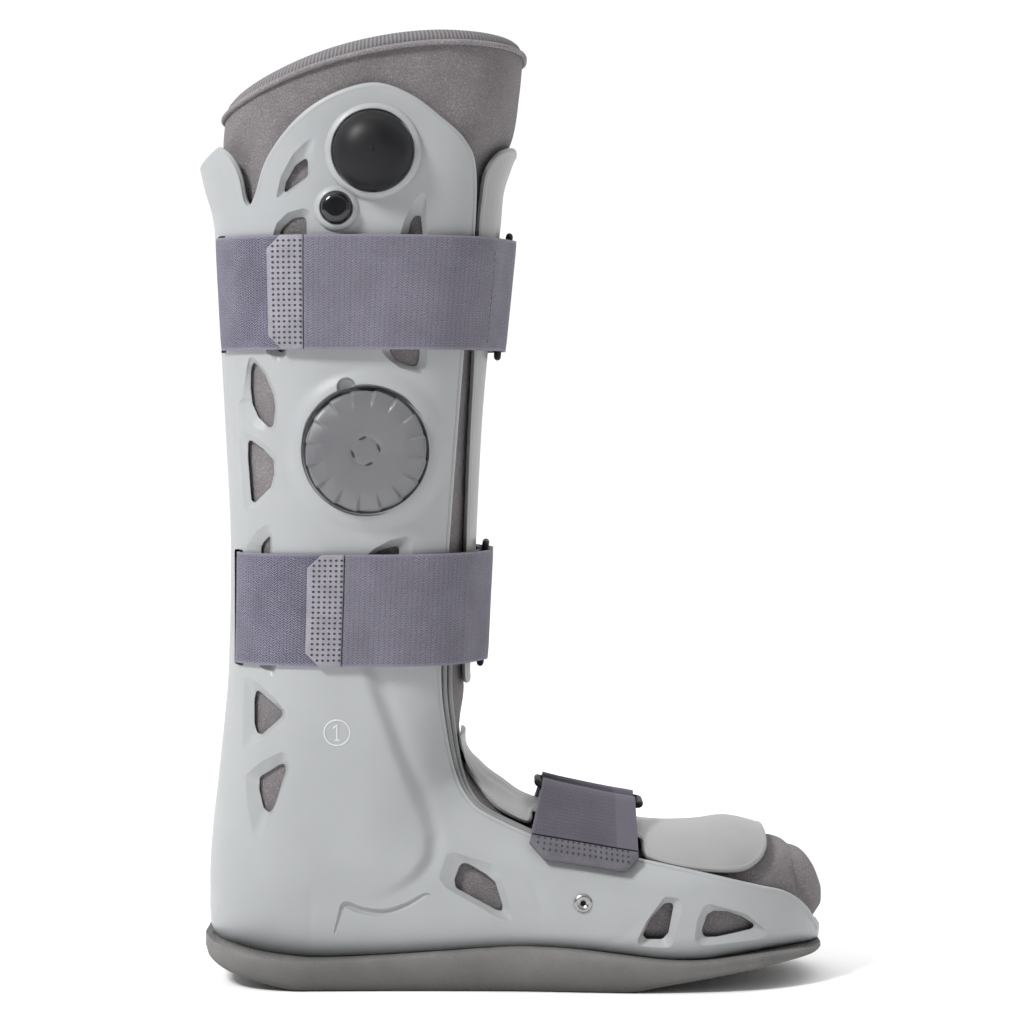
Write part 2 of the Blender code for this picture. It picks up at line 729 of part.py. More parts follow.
def loft_strip(name, rings, half, look):
    """A solid through open loops: the ends are strips of quads, not one long face."""
    count = len(rings[0])
    corners = [point for ring in rings for point in ring]
    faces = []
    for level in range(len(rings) - 1):
        for step in range(count):
            following = (step + 1) % count
            low, high = level * count, (level + 1) * count
            faces.append((low + step, low + following, high + following, high + step))
    for start in (0, (len(rings) - 1) * count):
        for step in range(half - 1):
            other = count - 1 - step
            faces.append((start + step, start + step + 1, start + other - 1, start + other))
    return mesh_object(name, corners, faces, look)


def leg_levels(rows, low, high):
    """The leg's sections at the lower edge, the middle and the upper edge of a band."""
    levels = []
    for z in (low, (low + high) / 2, high):
        place = place_where(rows, lambda row: row.front_z, z, 0, len(LEG_ROWS))
        levels.append(section_at(rows, place))
    return levels


def foot_levels(rows, low, high):
    """The foot's sections at the heel edge, the middle and the toe edge of a band."""
    return [upright_section(rows, x) for x in (low, (low + high) / 2, high)]


def upright_section(rows, x):
    """The foot's section whose top is at this X."""
    first = len(LEG_ROWS) + FIRST_UPRIGHT_ROW
    place = place_where(rows, lambda row: row.front_x, x, first, len(rows) - 2)
    return section_at(rows, place)


def facet_distances(line, low, high):
    """The distances of the surface's own corners between low and high, with both ends."""
    inside = []
    for step in range(RING_POINTS // 2 + 1):
        turn = step / RING_POINTS
        distance = next(d for d, t in line if t >= turn - 1e-9)
        if low + STRAP_THICKNESS < distance < high - STRAP_THICKNESS:
            inside.append(distance)
    return [low, *inside, high]


def strap_path(line, start, inside, end, lift=0.0, steps=6):
    """From inside the shell round to the ring, through it, over its bar and back to the end."""
    turn_round = BAR_AT - RING_BAR / 2
    under = facet_distances(line, BAR_AT + RING_BAR, start)
    path = inside + [(distance, UNDER_OUT) for distance in reversed(under)]
    centre = RING_OUT + lift
    for step in range(steps + 1):
        angle = math.pi * step / steps
        along = turn_round - FOLD_RADIUS * math.sin(angle)
        path.append((along, centre - FOLD_RADIUS * math.cos(angle)))
    crest = centre + FOLD_RADIUS
    for distance in facet_distances(line, BAR_AT + RING_BAR, end):
        ease = max(0.0, 1 - (distance - BAR_AT - RING_BAR) / RING_SPAN) ** 2
        path.append((distance, OVER_OUT + (crest - OVER_OUT) * ease))
    return path


def leg_strap(name, rows, height, slot, look, tab_end=None, hook_look=None):
    """A strap of a leg ring, from its slot to the ring. The near one goes through the ring and
    back to its hook tab, and the far one is sewn back on itself round the ring's other bar."""
    low = height * BOOT_HEIGHT - STRAP_WIDTH / 2
    levels = leg_levels(rows, low, low + STRAP_WIDTH)
    row, far = levels[1], tab_end is None
    line = arc_line(row)
    slot_x = slot * BOOT_LENGTH - SLOT_WIDTH / 4
    start = distance_where(row, line, lambda point: point.x <= slot_x)
    turned_in = [(start, -SHELL_WALL / 2), (start - STRAP_THICKNESS, UNDER_OUT - CLEARANCE / 2)]
    end = BAR_AT + FAR_TAB_REACH
    if not far:
        tab_x = tab_end * BOOT_LENGTH
        outer_end = distance_where(row, line, lambda point: point.x <= tab_x)
        end = outer_end - TAB_LENGTH
        hook_tab(name.replace("strap", "hook_tab"), levels, line, end, outer_end, hook_look)
    path = strap_path(line, start - 3 * STRAP_THICKNESS, turned_in, end)
    ribbon(name, path, levels, look, far)


def hook_tab(name, levels, line, start, end, look):
    """The stiff hook patch that closes the strap's free end, with its two corners cut off."""
    chamfer = TAB_CHAMFER / STRAP_WIDTH
    full_width = facet_distances(line, start + CLEARANCE, end - TAB_CHAMFER)
    columns = [(distance, 0.0) for distance in full_width] + [(end, chamfer)]
    rings = []
    for out in (OVER_OUT - STRAP_THICKNESS / 2, OVER_OUT + STRAP_THICKNESS / 2):
        low_edge = [tab_point(levels, line, cut, distance, out) for distance, cut in columns]
        high_edge = [tab_point(levels, line, 1 - cut, distance, out) for distance, cut in columns]
        rings.append(low_edge + high_edge[::-1])
    count = len(rings[0])
    corners = rings[0] + rings[1]
    faces = []
    for step in range(count):
        following = (step + 1) % count
        faces.append((step, following, count + following, count + step))
    for first in (0, count):
        for step in range(len(columns) - 1):
            low, high = first + step, first + count - 1 - step
            faces.append((low, low + 1, high - 1, high))
    mesh_object(name, corners, faces, look)


def tab_point(levels, line, share, distance, out):
    """A point on the tab: share 0 is the strap's lower edge and 1 its upper edge."""
    turn = turn_at(line, distance)
    return on_surface(levels[0], turn, out).lerp(on_surface(levels[-1], turn, out), share)


def ring(name, levels, length, lift, look):
    """A flat loop ring with two bars for the straps, bent to the surface that it lies on."""
    line = arc_line(levels[1])
    half_bar = RING_BAR / 2
    across = (-BAR_AT - half_bar, -BAR_AT + half_bar, 0.0, BAR_AT - half_bar, BAR_AT + half_bar)
    bar_share = RING_BAR / length
    shares = (0.0, bar_share, 0.5, 1 - bar_share, 1.0)
    corners = []
    for out in (RING_OUT + lift - half_bar, RING_OUT + lift + half_bar):
        for share in shares:
            corners += [ring_point(levels, line, share, distance, out) for distance in across]
    columns, sheet = len(across), len(across) * len(shares)
    opening = {(1, 1), (1, 2), (2, 1), (2, 2)}
    cells = {(r, c) for r in range(4) for c in range(4)} - opening
    faces = []
    for r, c in sorted(cells):
        low_left = r * columns + c
        around = (low_left, low_left + 1, low_left + columns + 1, low_left + columns)
        faces.append(around)
        faces.append(tuple(sheet + index for index in around))
        neighbours = ((r - 1, c), (r, c + 1), (r + 1, c), (r, c - 1))
        for side, neighbour in enumerate(neighbours):
            if neighbour not in cells:
                first, second = around[side], around[(side + 1) % 4]
                faces.append((first, second, sheet + second, sheet + first))
    middle = 2 * columns + 2
    for unused in (sheet + middle, middle):
        del corners[unused]
        faces = [tuple(index - (index > unused) for index in face) for face in faces]
    return mesh_object(name, corners, faces, look, smooth=False)


def ring_point(levels, line, share, distance, out):
    turn = turn_at(line, abs(distance))
    low, middle, high = (on_surface(row, turn, out, distance > 0) for row in levels)
    if share <= 0.5:
        return low.lerp(middle, share * 2)
    return middle.lerp(high, share * 2 - 1)


def leg_ring(name, rows, height, look):
    half = STRAP_WIDTH / 2 + RING_MARGIN
    middle = height * BOOT_HEIGHT
    ring(name, leg_levels(rows, middle - half, middle + half), 2 * half, 0.0, look)


def foot_strap(rows, look, hook_look):
    """Two straps riveted inside the shell's sides, up over the foot panel to the ring."""
    low = FOOT_STRAP_START * BOOT_LENGTH
    levels = foot_levels(rows, low, low + FOOT_STRAP_WIDTH)
    row = levels[1]
    line = arc_line(row)
    rim_z = height_on(SHELL_EDGE, row.front_x)
    panel_z = height_on(FOOT_EDGE, row.front_x)
    bottom = distance_where(row, line, lambda point: point.z <= RIVET_PLACE[1] * BOOT_HEIGHT)
    rim = distance_where(row, line, lambda point: point.z <= rim_z)
    edge = distance_where(row, line, lambda point: point.z <= panel_z)
    tucked = -SHELL_WALL - CLEARANCE - STRAP_THICKNESS / 2
    leave, arrive = rim - 3.5 * STRAP_THICKNESS, edge + 2 * STRAP_THICKNESS
    inside = [(distance, tucked) for distance in reversed(facet_distances(line, leave, bottom))]
    for distance in reversed(facet_distances(line, arrive, leave)[:-1]):
        share = (distance - arrive) / (leave - arrive)
        inside.append((distance, UNDER_OUT + (tucked - UNDER_OUT) * share))
    for name, reach in (("foot_strap", FOOT_TAB_REACH), ("foot_strap_far", FAR_TAB_REACH)):
        start, end = edge - 2 * STRAP_THICKNESS, BAR_AT + reach
        path = strap_path(line, start, inside, end, FOOT_RING_LIFT)
        ribbon(name, path, levels, look, name == "foot_strap_far")
    start = BAR_AT + FOOT_TAB_REACH
    hook_tab("foot_hook_tab", levels, line, start, start + FOOT_TAB_LENGTH, hook_look)


def height_on(edge, x):
    """The height of an edge line at this X, on its stretch along the foot."""
    line = [side_point(place) for place in edge]
    for (x0, z0), (x1, z1) in zip(line, line[1:]):
        if x0 <= x <= x1 and z0 < 0.25 * BOOT_HEIGHT:
            return z0 + (z1 - z0) * (x - x0) / (x1 - x0)
    return line[-1][1]


def foot_ring(rows, look):
    length = FOOT_STRAP_WIDTH + 2 * RING_MARGIN
    low = FOOT_STRAP_START * BOOT_LENGTH - RING_MARGIN
    ring("foot_ring", foot_levels(rows, low, low + length), length, FOOT_RING_LIFT, look)


def pump_bulb(rows, look):
    spot = side_point(BULB_PLACE)
    side = side_width(rows, *spot)
    top = side + BOSS_RISE + BULB_RISE
    dome("pump_bulb", spot, BULB_DIAMETER / 2, side + CLEARANCE, top, look, levels=6)


def release_button(rows, look):
    """The valve button, whose origin is on the shell's face so that it can be pressed in."""
    x, z = side_point(BUTTON_PLACE)
    base = BOSS_RISE - BUTTON_DEPTH + BUTTON_TRAVEL + CLEARANCE
    top = BOSS_RISE + BUTTON_RISE
    button = dome("release_button", (0.0, 0.0), BUTTON_DIAMETER / 2, base, top, look, levels=4)
    button.location = (x, -side_width(rows, x, z), z)


def selector_dial(rows, look):
    """The chamber selector: a low dome whose rim has shallow grip flutes."""
    x, z = side_point(DIAL_PLACE)
    sides = 2 * DIAL_FLUTES
    rings = []
    for out, share in DIAL_PROFILE:
        y, radius = -CLEARANCE - out * DIAL_THICKNESS, share * DIAL_DIAMETER / 2
        outer = circle((0.0, 0.0), radius, y, sides)
        inner = circle((0.0, 0.0), radius - DIAL_FLUTE_DEPTH, y, sides)
        rings.append([inner[step] if step % 2 else outer[step] for step in range(sides)])
    dial = loft("selector_dial", rings, look)
    dial.location = (x, -side_width(rows, x, z), z)


def rivet(name, rows, side, look):
    """A tubular rivet: its head on the shell's side, its shank through to the strap. The side
    is 1 on the far side and -1 on the near one."""
    x, z = side_point(RIVET_PLACE)
    row = upright_section(rows, x)
    points = [section_point(row, turn) for _, turn in arc_line(row)]
    head, shank = RIVET_DIAMETER / 2, RIVET_SHANK / 2
    surface = max(point.y for point in points if abs(point.z - z) < head)
    seat = surface + SEAT_GAP
    levels = (
        (surface - SHELL_WALL + RIVET_TIP_GAP, shank),
        (seat, shank),
        (seat, head),
        (seat + RIVET_HEAD / 2, head),
        (seat + RIVET_HEAD, head - RIVET_HEAD),
    )
    loft(name, [circle((x, z), radius, side * out, SMALL_SIDES) for out, radius in levels], look)


def build():
    clear_scene()
    shell_look = material("shell plastic", (0.55, 0.57, 0.60), 0.42)
    panel_look = material("panel plastic", (0.56, 0.56, 0.57), 0.45)
    liner_look = material("liner fabric", (0.27, 0.25, 0.25), 0.95)
    sole_look = material("sole rubber", (0.28, 0.27, 0.27), 0.80)
    webbing = material("strap webbing", (0.21, 0.19, 0.24), 0.85)
    hook = material("hook patch", (0.30, 0.29, 0.34), 0.70)
    black = material("black plastic", (0.012, 0.012, 0.014), 0.35)
    rubber = material("bulb rubber", (0.010, 0.010, 0.011), 0.50)
    dial_look = material("dial plastic", (0.22, 0.22, 0.24), 0.50)
    steel = material("rivet steel", (0.62, 0.62, 0.63), 0.30, 1.0)

    rows = envelope()
    rear_shell(rows, shell_look)
    liner(rows, liner_look)
    piping(liner_look)
    shin_panel(rows, panel_look)
    foot_panel(rows, panel_look)
    outsole(rows, sole_look)
    leg_strap("upper_strap", rows, UPPER_STRAP_HEIGHT, UPPER_SLOT, webbing, UPPER_TAB_END, hook)
    leg_strap("lower_strap", rows, LOWER_STRAP_HEIGHT, LOWER_SLOT, webbing, LOWER_TAB_END, hook)
    leg_strap("upper_strap_far", rows, UPPER_STRAP_HEIGHT, UPPER_SLOT, webbing)
    leg_strap("lower_strap_far", rows, LOWER_STRAP_HEIGHT, LOWER_SLOT, webbing)
    foot_strap(rows, webbing, hook)
    leg_ring("upper_ring", rows, UPPER_STRAP_HEIGHT, black)
    leg_ring("lower_ring", rows, LOWER_STRAP_HEIGHT, black)
    foot_ring(rows, black)
    pump_bulb(rows, rubber)
    release_button(rows, black)
    selector_dial(rows, dial_look)
    rivet("rivet", rows, -1.0, steel)
    rivet("rivet_far", rows, 1.0, steel)


build()
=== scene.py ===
import math

import bmesh
import bpy
import numpy as np
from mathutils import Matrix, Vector, noise


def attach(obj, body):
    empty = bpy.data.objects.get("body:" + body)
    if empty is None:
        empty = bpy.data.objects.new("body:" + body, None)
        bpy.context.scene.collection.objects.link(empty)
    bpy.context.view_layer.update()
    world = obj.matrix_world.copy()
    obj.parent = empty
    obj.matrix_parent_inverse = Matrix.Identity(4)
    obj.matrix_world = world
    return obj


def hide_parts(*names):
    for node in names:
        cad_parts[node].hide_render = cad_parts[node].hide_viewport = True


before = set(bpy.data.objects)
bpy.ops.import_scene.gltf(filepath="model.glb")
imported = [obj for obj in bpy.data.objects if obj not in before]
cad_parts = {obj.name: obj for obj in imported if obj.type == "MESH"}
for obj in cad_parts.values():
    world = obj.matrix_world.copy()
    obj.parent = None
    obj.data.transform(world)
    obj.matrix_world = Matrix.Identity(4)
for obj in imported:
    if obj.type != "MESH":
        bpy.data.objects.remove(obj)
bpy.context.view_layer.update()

# The boot's own sizes, as in the source, in metres
bootLength = 0.286
bootHeight = 0.428
legWidth = 0.140
footWidth = 0.110
shellWall = 0.0030
panelWall = 0.0025
linerWall = 0.0090
clearance = 0.0005
collarFlare = 0.0080
soleLip = 0.0015
soleTaper = 0.0040
strapWidth = 0.0500
strapThickness = 0.0018
seatGap = 0.0007
footStrapWidth = 0.0450
ringBar = 0.0032
ringSpan = 0.0240
ringMargin = 0.0040
ringFoldGap = 0.0005
footRingLift = 0.0040
bossRise = 0.0020
bulbRadius = 0.0174
buttonRadius = 0.0065
dialRadius = 0.0554 / 2

underOut = seatGap + strapThickness / 2
overOut = underOut + strapThickness + clearance
foldRadius = ringBar / 2 + ringFoldGap + strapThickness / 2
ringOut = underOut + foldRadius
barAt = ringSpan / 2

# Leg: height, back, front, width, flare
legRows = (
    (0.946, -0.472, 0.010, 1.021, 1.00),
    (0.911, -0.472, 0.010, 1.019, 1.00),
    (0.886, -0.472, 0.009, 1.014, 1.00),
    (0.867, -0.472, -0.001, 1.010, 0.95),
    (0.841, -0.472, -0.013, 1.004, 0.65),
    (0.806, -0.472, -0.018, 0.993, 0.15),
    (0.748, -0.471, -0.027, 0.979, 0.00),
    (0.607, -0.460, -0.047, 0.929, 0.00),
    (0.467, -0.451, -0.058, 0.857, 0.00),
    (0.339, -0.455, -0.067, 0.793, 0.00),
)
# Heel and foot: frontX, frontZ, backX, backZ, width, squareness of the underside
footRows = (
    (-0.066, 0.306, -0.462, 0.280, 0.982, 2.5),
    (-0.072, 0.280, -0.473, 0.213, 0.964, 2.5),
    (-0.075, 0.259, -0.483, 0.154, 0.955, 2.5),
    (-0.073, 0.246, -0.487, 0.098, 0.945, 2.5),
    (-0.065, 0.237, -0.479, 0.047, 0.927, 2.6),
    (-0.054, 0.230, -0.420, 0.026, 0.909, 3.0),
    (-0.038, 0.220, -0.332, 0.019, 0.900, 3.5),
    (-0.017, 0.210, -0.231, 0.020, 0.891, 3.8),
    (0.014, 0.195, -0.112, 0.026, 0.891, 4.0),
    (0.052, 0.185, 0.007, 0.030, 0.909, 4.0),
    (0.112, 0.176, 0.098, 0.030, 0.945, 4.0),
    (0.175, 0.168, 0.175, 0.026, 0.982, 4.0),
    (0.238, 0.163, 0.238, 0.021, 1.000, 4.0),
    (0.297, 0.164, 0.297, 0.022, 0.991, 4.0),
    (0.346, 0.168, 0.350, 0.028, 0.945, 4.0),
    (0.392, 0.162, 0.392, 0.033, 0.855, 4.0),
    (0.427, 0.153, 0.427, 0.035, 0.745, 3.6),
    (0.455, 0.143, 0.455, 0.036, 0.618, 3.2),
    (0.476, 0.129, 0.476, 0.037, 0.473, 3.0),
    (0.489, 0.105, 0.489, 0.038, 0.309, 2.6),
    (0.495, 0.079, 0.495, 0.039, 0.145, 2.4),
)
legFrontSquare = 3.0
legBackSquare = 2.5
footTopSquare = 2.3
heelRows = 6
firstUprightRow = 7
linerSkippedLegRows = 5
linerSkippedToeRows = 5
linerTuckRow = 6
linerTopRows = (
    (0.017, 0.981, -0.457, 0.914, 0.965, 0.026),
    (0.012, 0.946, -0.460, 0.895, 0.960, 0.016),
    (0.001, 0.900, -0.461, 0.874, 0.953, 0.007),
    (-0.028, 0.853, -0.462, 0.843, 0.945, 0.002),
)
linerToeRows = (
    (0.425, 0.146, 0.427, 0.048, 0.650),
    (0.455, 0.137, 0.455, 0.050, 0.535),
    (0.473, 0.129, 0.474, 0.055, 0.395),
    (0.488, 0.114, 0.487, 0.065, 0.275),
    (0.498, 0.096, 0.497, 0.074, 0.140),
)
shellEdge = (
    (-0.458, 0.879), (-0.436, 0.868), (-0.421, 0.849), (-0.413, 0.824), (-0.402, 0.816),
    (-0.391, 0.827), (-0.371, 0.864), (-0.330, 0.900), (-0.278, 0.925), (-0.212, 0.938),
    (-0.158, 0.927), (-0.112, 0.905), (-0.075, 0.882), (-0.060, 0.850), (-0.066, 0.760),
    (-0.080, 0.667), (-0.095, 0.540), (-0.107, 0.430), (-0.116, 0.335), (-0.109, 0.275),
    (-0.095, 0.226), (-0.072, 0.196), (-0.037, 0.178), (0.041, 0.156), (0.137, 0.143),
    (0.300, 0.122), (0.389, 0.107), (0.430, 0.098), (0.462, 0.081), (0.486, 0.055),
)
shinEdge = (
    (0.001, 0.881), (-0.022, 0.872), (-0.040, 0.853), (-0.047, 0.825), (-0.052, 0.788),
    (-0.059, 0.665), (-0.066, 0.577), (-0.072, 0.464), (-0.075, 0.338), (-0.071, 0.318),
)
footEdge = (
    (-0.083, 0.262), (-0.079, 0.246), (-0.071, 0.230), (-0.050, 0.209), (-0.020, 0.188),
    (0.024, 0.174), (0.036, 0.181), (0.110, 0.167), (0.200, 0.156), (0.214, 0.140), (0.280, 0.130),
    (0.352, 0.128), (0.383, 0.135), (0.398, 0.146), (0.401, 0.156),
)
# Vent windows: the outline of each hole, then of the moulded recess round it
windows = {
    "topRear": (
        ((-0.312, 0.867), (-0.312, 0.847), (-0.350, 0.829), (-0.346, 0.841), (-0.331, 0.858)),
        ((-0.362, 0.823), (-0.353, 0.847), (-0.334, 0.869), (-0.310, 0.884), (-0.302, 0.885),
         (-0.302, 0.873), (-0.308, 0.846), (-0.346, 0.826)),
    ),
    "strapRear": (
        ((-0.315, 0.806), (-0.314, 0.769), (-0.357, 0.770), (-0.356, 0.789), (-0.352, 0.795),
         (-0.335, 0.804)),
        ((-0.367, 0.767), (-0.366, 0.789), (-0.361, 0.799), (-0.343, 0.810), (-0.318, 0.814),
         (-0.307, 0.811), (-0.307, 0.766)),
    ),
    "topFront": (
        ((-0.140, 0.807), (-0.137, 0.788), (-0.137, 0.770), (-0.161, 0.769), (-0.159, 0.788),
         (-0.155, 0.800), (-0.149, 0.807)),
        ((-0.174, 0.766), (-0.170, 0.788), (-0.165, 0.800), (-0.153, 0.819), (-0.138, 0.830),
         (-0.132, 0.829), (-0.130, 0.788), (-0.131, 0.766)),
    ),
    "midFront": (
        ((-0.187, 0.673), (-0.142, 0.673), (-0.143, 0.661), (-0.145, 0.656), (-0.149, 0.653),
         (-0.160, 0.654), (-0.180, 0.659), (-0.188, 0.668)),
        ((-0.200, 0.675), (-0.199, 0.667), (-0.189, 0.660), (-0.172, 0.651), (-0.147, 0.646),
         (-0.137, 0.645), (-0.132, 0.653), (-0.130, 0.675)),
    ),
    "midRearUpper": (
        ((-0.401, 0.659), (-0.405, 0.649), (-0.406, 0.631), (-0.403, 0.614), (-0.393, 0.600),
         (-0.375, 0.589), (-0.369, 0.592), (-0.366, 0.610), (-0.368, 0.622), (-0.381, 0.643)),
        ((-0.407, 0.663), (-0.412, 0.649), (-0.419, 0.620), (-0.430, 0.613), (-0.425, 0.602),
         (-0.396, 0.588), (-0.375, 0.584), (-0.365, 0.589), (-0.362, 0.610), (-0.363, 0.624),
         (-0.377, 0.646), (-0.399, 0.662)),
    ),
    "midRearLower": (
        ((-0.411, 0.576), (-0.412, 0.559), (-0.409, 0.532), (-0.407, 0.513), (-0.401, 0.511),
         (-0.374, 0.528), (-0.369, 0.541), (-0.369, 0.556), (-0.385, 0.567), (-0.405, 0.576)),
        ((-0.425, 0.587), (-0.403, 0.582), (-0.380, 0.571), (-0.363, 0.559), (-0.363, 0.537),
         (-0.370, 0.524), (-0.396, 0.507), (-0.418, 0.501), (-0.423, 0.538), (-0.426, 0.569)),
    ),
    "lowRear": (
        ((-0.377, 0.477), (-0.387, 0.470), (-0.391, 0.464), (-0.391, 0.446), (-0.377, 0.447),
         (-0.376, 0.474)),
        ((-0.416, 0.466), (-0.396, 0.483), (-0.377, 0.492), (-0.372, 0.478), (-0.373, 0.444),
         (-0.419, 0.442)),
    ),
    "lowFront": (
        ((-0.175, 0.467), (-0.187, 0.466), (-0.207, 0.462), (-0.219, 0.456), (-0.219, 0.447),
         (-0.175, 0.447)),
        ((-0.163, 0.478), (-0.190, 0.473), (-0.214, 0.464), (-0.230, 0.454), (-0.230, 0.444),
         (-0.156, 0.443), (-0.154, 0.474)),
    ),
    "ankleRearUpper": (
        ((-0.400, 0.316), (-0.404, 0.305), (-0.404, 0.280), (-0.400, 0.270), (-0.392, 0.268),
         (-0.358, 0.289), (-0.359, 0.294), (-0.377, 0.304)),
        ((-0.420, 0.333), (-0.398, 0.323), (-0.371, 0.309), (-0.353, 0.295), (-0.352, 0.288),
         (-0.391, 0.263), (-0.423, 0.249), (-0.423, 0.285)),
    ),
    "ankleRearLower": (
        ((-0.355, 0.239), (-0.362, 0.238), (-0.395, 0.224), (-0.396, 0.211), (-0.389, 0.192),
         (-0.380, 0.186), (-0.372, 0.193), (-0.353, 0.232)),
        ((-0.419, 0.225), (-0.389, 0.242), (-0.357, 0.253), (-0.349, 0.250), (-0.348, 0.232),
         (-0.373, 0.189), (-0.384, 0.173), (-0.393, 0.158), (-0.405, 0.162), (-0.415, 0.195)),
    ),
    "midfoot": (
        ((-0.082, 0.131), (-0.090, 0.117), (-0.088, 0.108), (-0.025, 0.085), (-0.015, 0.083),
         (-0.015, 0.090), (-0.026, 0.114), (-0.040, 0.122), (-0.068, 0.133), (-0.077, 0.134)),
        ((-0.103, 0.144), (-0.093, 0.146), (-0.030, 0.133), (-0.021, 0.127), (0.002, 0.078),
         (-0.001, 0.073), (-0.025, 0.079), (-0.103, 0.109), (-0.115, 0.119)),
    ),
    "toeRear": (
        ((0.248, 0.095), (0.237, 0.094), (0.216, 0.078), (0.204, 0.060), (0.210, 0.056),
         (0.235, 0.056), (0.244, 0.063), (0.252, 0.092)),
        ((0.238, 0.102), (0.261, 0.100), (0.267, 0.094), (0.251, 0.052), (0.244, 0.048),
         (0.199, 0.049), (0.195, 0.055), (0.210, 0.076)),
    ),
    "toeFront": (
        ((0.314, 0.086), (0.304, 0.082), (0.296, 0.065), (0.300, 0.058), (0.320, 0.058),
         (0.378, 0.065), (0.379, 0.070), (0.359, 0.079), (0.336, 0.085)),
        ((0.299, 0.092), (0.309, 0.094), (0.366, 0.082), (0.401, 0.061), (0.398, 0.054),
         (0.295, 0.050), (0.284, 0.056), (0.289, 0.078)),
    ),
    "strapRearLow": (
        ((-0.378, 0.690), (-0.349, 0.689), (-0.351, 0.669), (-0.356, 0.667), (-0.368, 0.673)),
        ((-0.390, 0.690), (-0.345, 0.689), (-0.348, 0.663), (-0.359, 0.655), (-0.378, 0.667)),
    ),
    "lowRearLow": (
        ((-0.390, 0.359), (-0.371, 0.359), (-0.372, 0.345), (-0.382, 0.346)),
        ((-0.401, 0.358), (-0.365, 0.360), (-0.369, 0.331), (-0.373, 0.329), (-0.393, 0.340)),
    ),
}
windowCorner = 0.0022
# Front edge of the ankle boss from the lower strap down, and the crease under it
bossEdge = ((-0.226, 0.350), (-0.208, 0.310), (-0.197, 0.291), (-0.180, 0.257), (-0.163, 0.227),
            (-0.149, 0.205), (-0.138, 0.186), (-0.129, 0.163), (-0.131, 0.142), (-0.149, 0.123),
            (-0.172, 0.110), (-0.195, 0.102), (-0.255, 0.080))
heelCrease = ((-0.278, 0.060), (-0.270, 0.076), (-0.264, 0.089), (-0.256, 0.091), (-0.238, 0.086),
              (-0.201, 0.083), (-0.166, 0.090), (-0.137, 0.101), (-0.127, 0.100))
# Faint grooves at the back, the heel and the foot
shellSeams = (
    ((-0.437, 0.649), (-0.432, 0.600), (-0.432, 0.558), (-0.424, 0.500)),
    ((-0.313, 0.116), (-0.315, 0.080), (-0.318, 0.041)),
    ((0.029, 0.119), (0.041, 0.095), (0.049, 0.074)),
    ((0.204, 0.082), (0.174, 0.059), (0.151, 0.054), (0.147, 0.049)),
)
linerFold = ((0.4476, 0.1432), (0.4556, 0.1000), (0.4699, 0.0811))
markPlace = (-0.2717, 0.2730)
pocketPlace = (-0.2539, 0.6315)
soleRows = (
    (-0.490, 0.051, 0.034, 0.30),
    (-0.482, 0.049, 0.029, 0.50),
    (-0.466, 0.046, 0.023, 0.66),
    (-0.440, 0.043, 0.016, 0.78),
    (-0.400, 0.037, 0.009, 0.87),
    (-0.346, 0.033, 0.001, 0.905),
    (-0.310, 0.032, 0.000, 0.900),
    (-0.220, 0.035, 0.000, 0.890),
    (-0.112, 0.040, 0.000, 0.890),
    (0.007, 0.046, 0.000, 0.909),
    (0.098, 0.044, 0.000, 0.950),
    (0.180, 0.038, 0.000, 0.985),
    (0.238, 0.034, 0.007, 1.000),
    (0.297, 0.033, 0.014, 0.991),
    (0.350, 0.036, 0.020, 0.950),
    (0.392, 0.038, 0.024, 0.870),
    (0.427, 0.039, 0.027, 0.755),
    (0.455, 0.039, 0.029, 0.630),
    (0.476, 0.038, 0.030, 0.485),
    (0.489, 0.0375, 0.031, 0.330),
    (0.496, 0.037, 0.0315, 0.180),
)
bulbPlace = (-0.212, 0.872)
buttonPlace = (-0.268, 0.814)
dialPlace = (-0.224, 0.566)
rivetPlace = (0.111, 0.094)
upperStrapHeight = 0.7285
lowerStrapHeight = 0.4005
footStrapStart = 0.040
upperSlot = -0.455
lowerSlot = -0.430
slotWidth = 0.0048
upperTabEnd = -0.367
lowerTabEnd = -0.314
tabLength = 0.0160
footTabLength = 0.0100
tabChamfer = 0.0060
farTabReach = 0.030
footTabReach = 0.034
upY = Vector((0.0, 1.0, 0.0))


def smoothValues(before, start, end, after, share):
    square, cube = share * share, share**3
    return (
        start * (2 * cube - 3 * square + 1)
        + (end - before) / 2 * (cube - 2 * square + share)
        + end * (3 * square - 2 * cube)
        + (after - start) / 2 * (cube - square)
    )


def envelopeRows():
    rows = []
    for height, back, front, width, flare in legRows:
        z = height * bootHeight
        rows.append((front * bootLength, z, back * bootLength, z, width * legWidth / 2,
                     legFrontSquare, legBackSquare, flare * collarFlare, 0.0))
    for index, row in enumerate(footRows):
        blend = min(index / heelRows, 1.0)
        frontSquare = legFrontSquare + (footTopSquare - legFrontSquare) * blend
        rows.append(footRow(*row, frontSquare))
    return np.array(rows)


def footRow(frontX, frontZ, backX, backZ, width, square, frontSquare=footTopSquare):
    return (frontX * bootLength, frontZ * bootHeight, backX * bootLength, backZ * bootHeight,
            width * footWidth / 2, frontSquare, square, 0.0, 0.0)


def rowAt(rows, place):
    last = len(rows) - 1
    index = min(int(place), last - 1)
    return smoothValues(rows[max(index - 1, 0)], rows[index], rows[index + 1],
                        rows[min(index + 2, last)], place - index)


def placeWhere(rows, column, wanted, low, high):
    # The place between low and high where this column of the row has the wanted value
    rising = rowAt(rows, high)[column] > rowAt(rows, low)[column]
    for _ in range(40):
        middle = (low + high) / 2
        if (rowAt(rows, middle)[column] > wanted) == rising:
            high = middle
        else:
            low = middle
    return (low + high) / 2


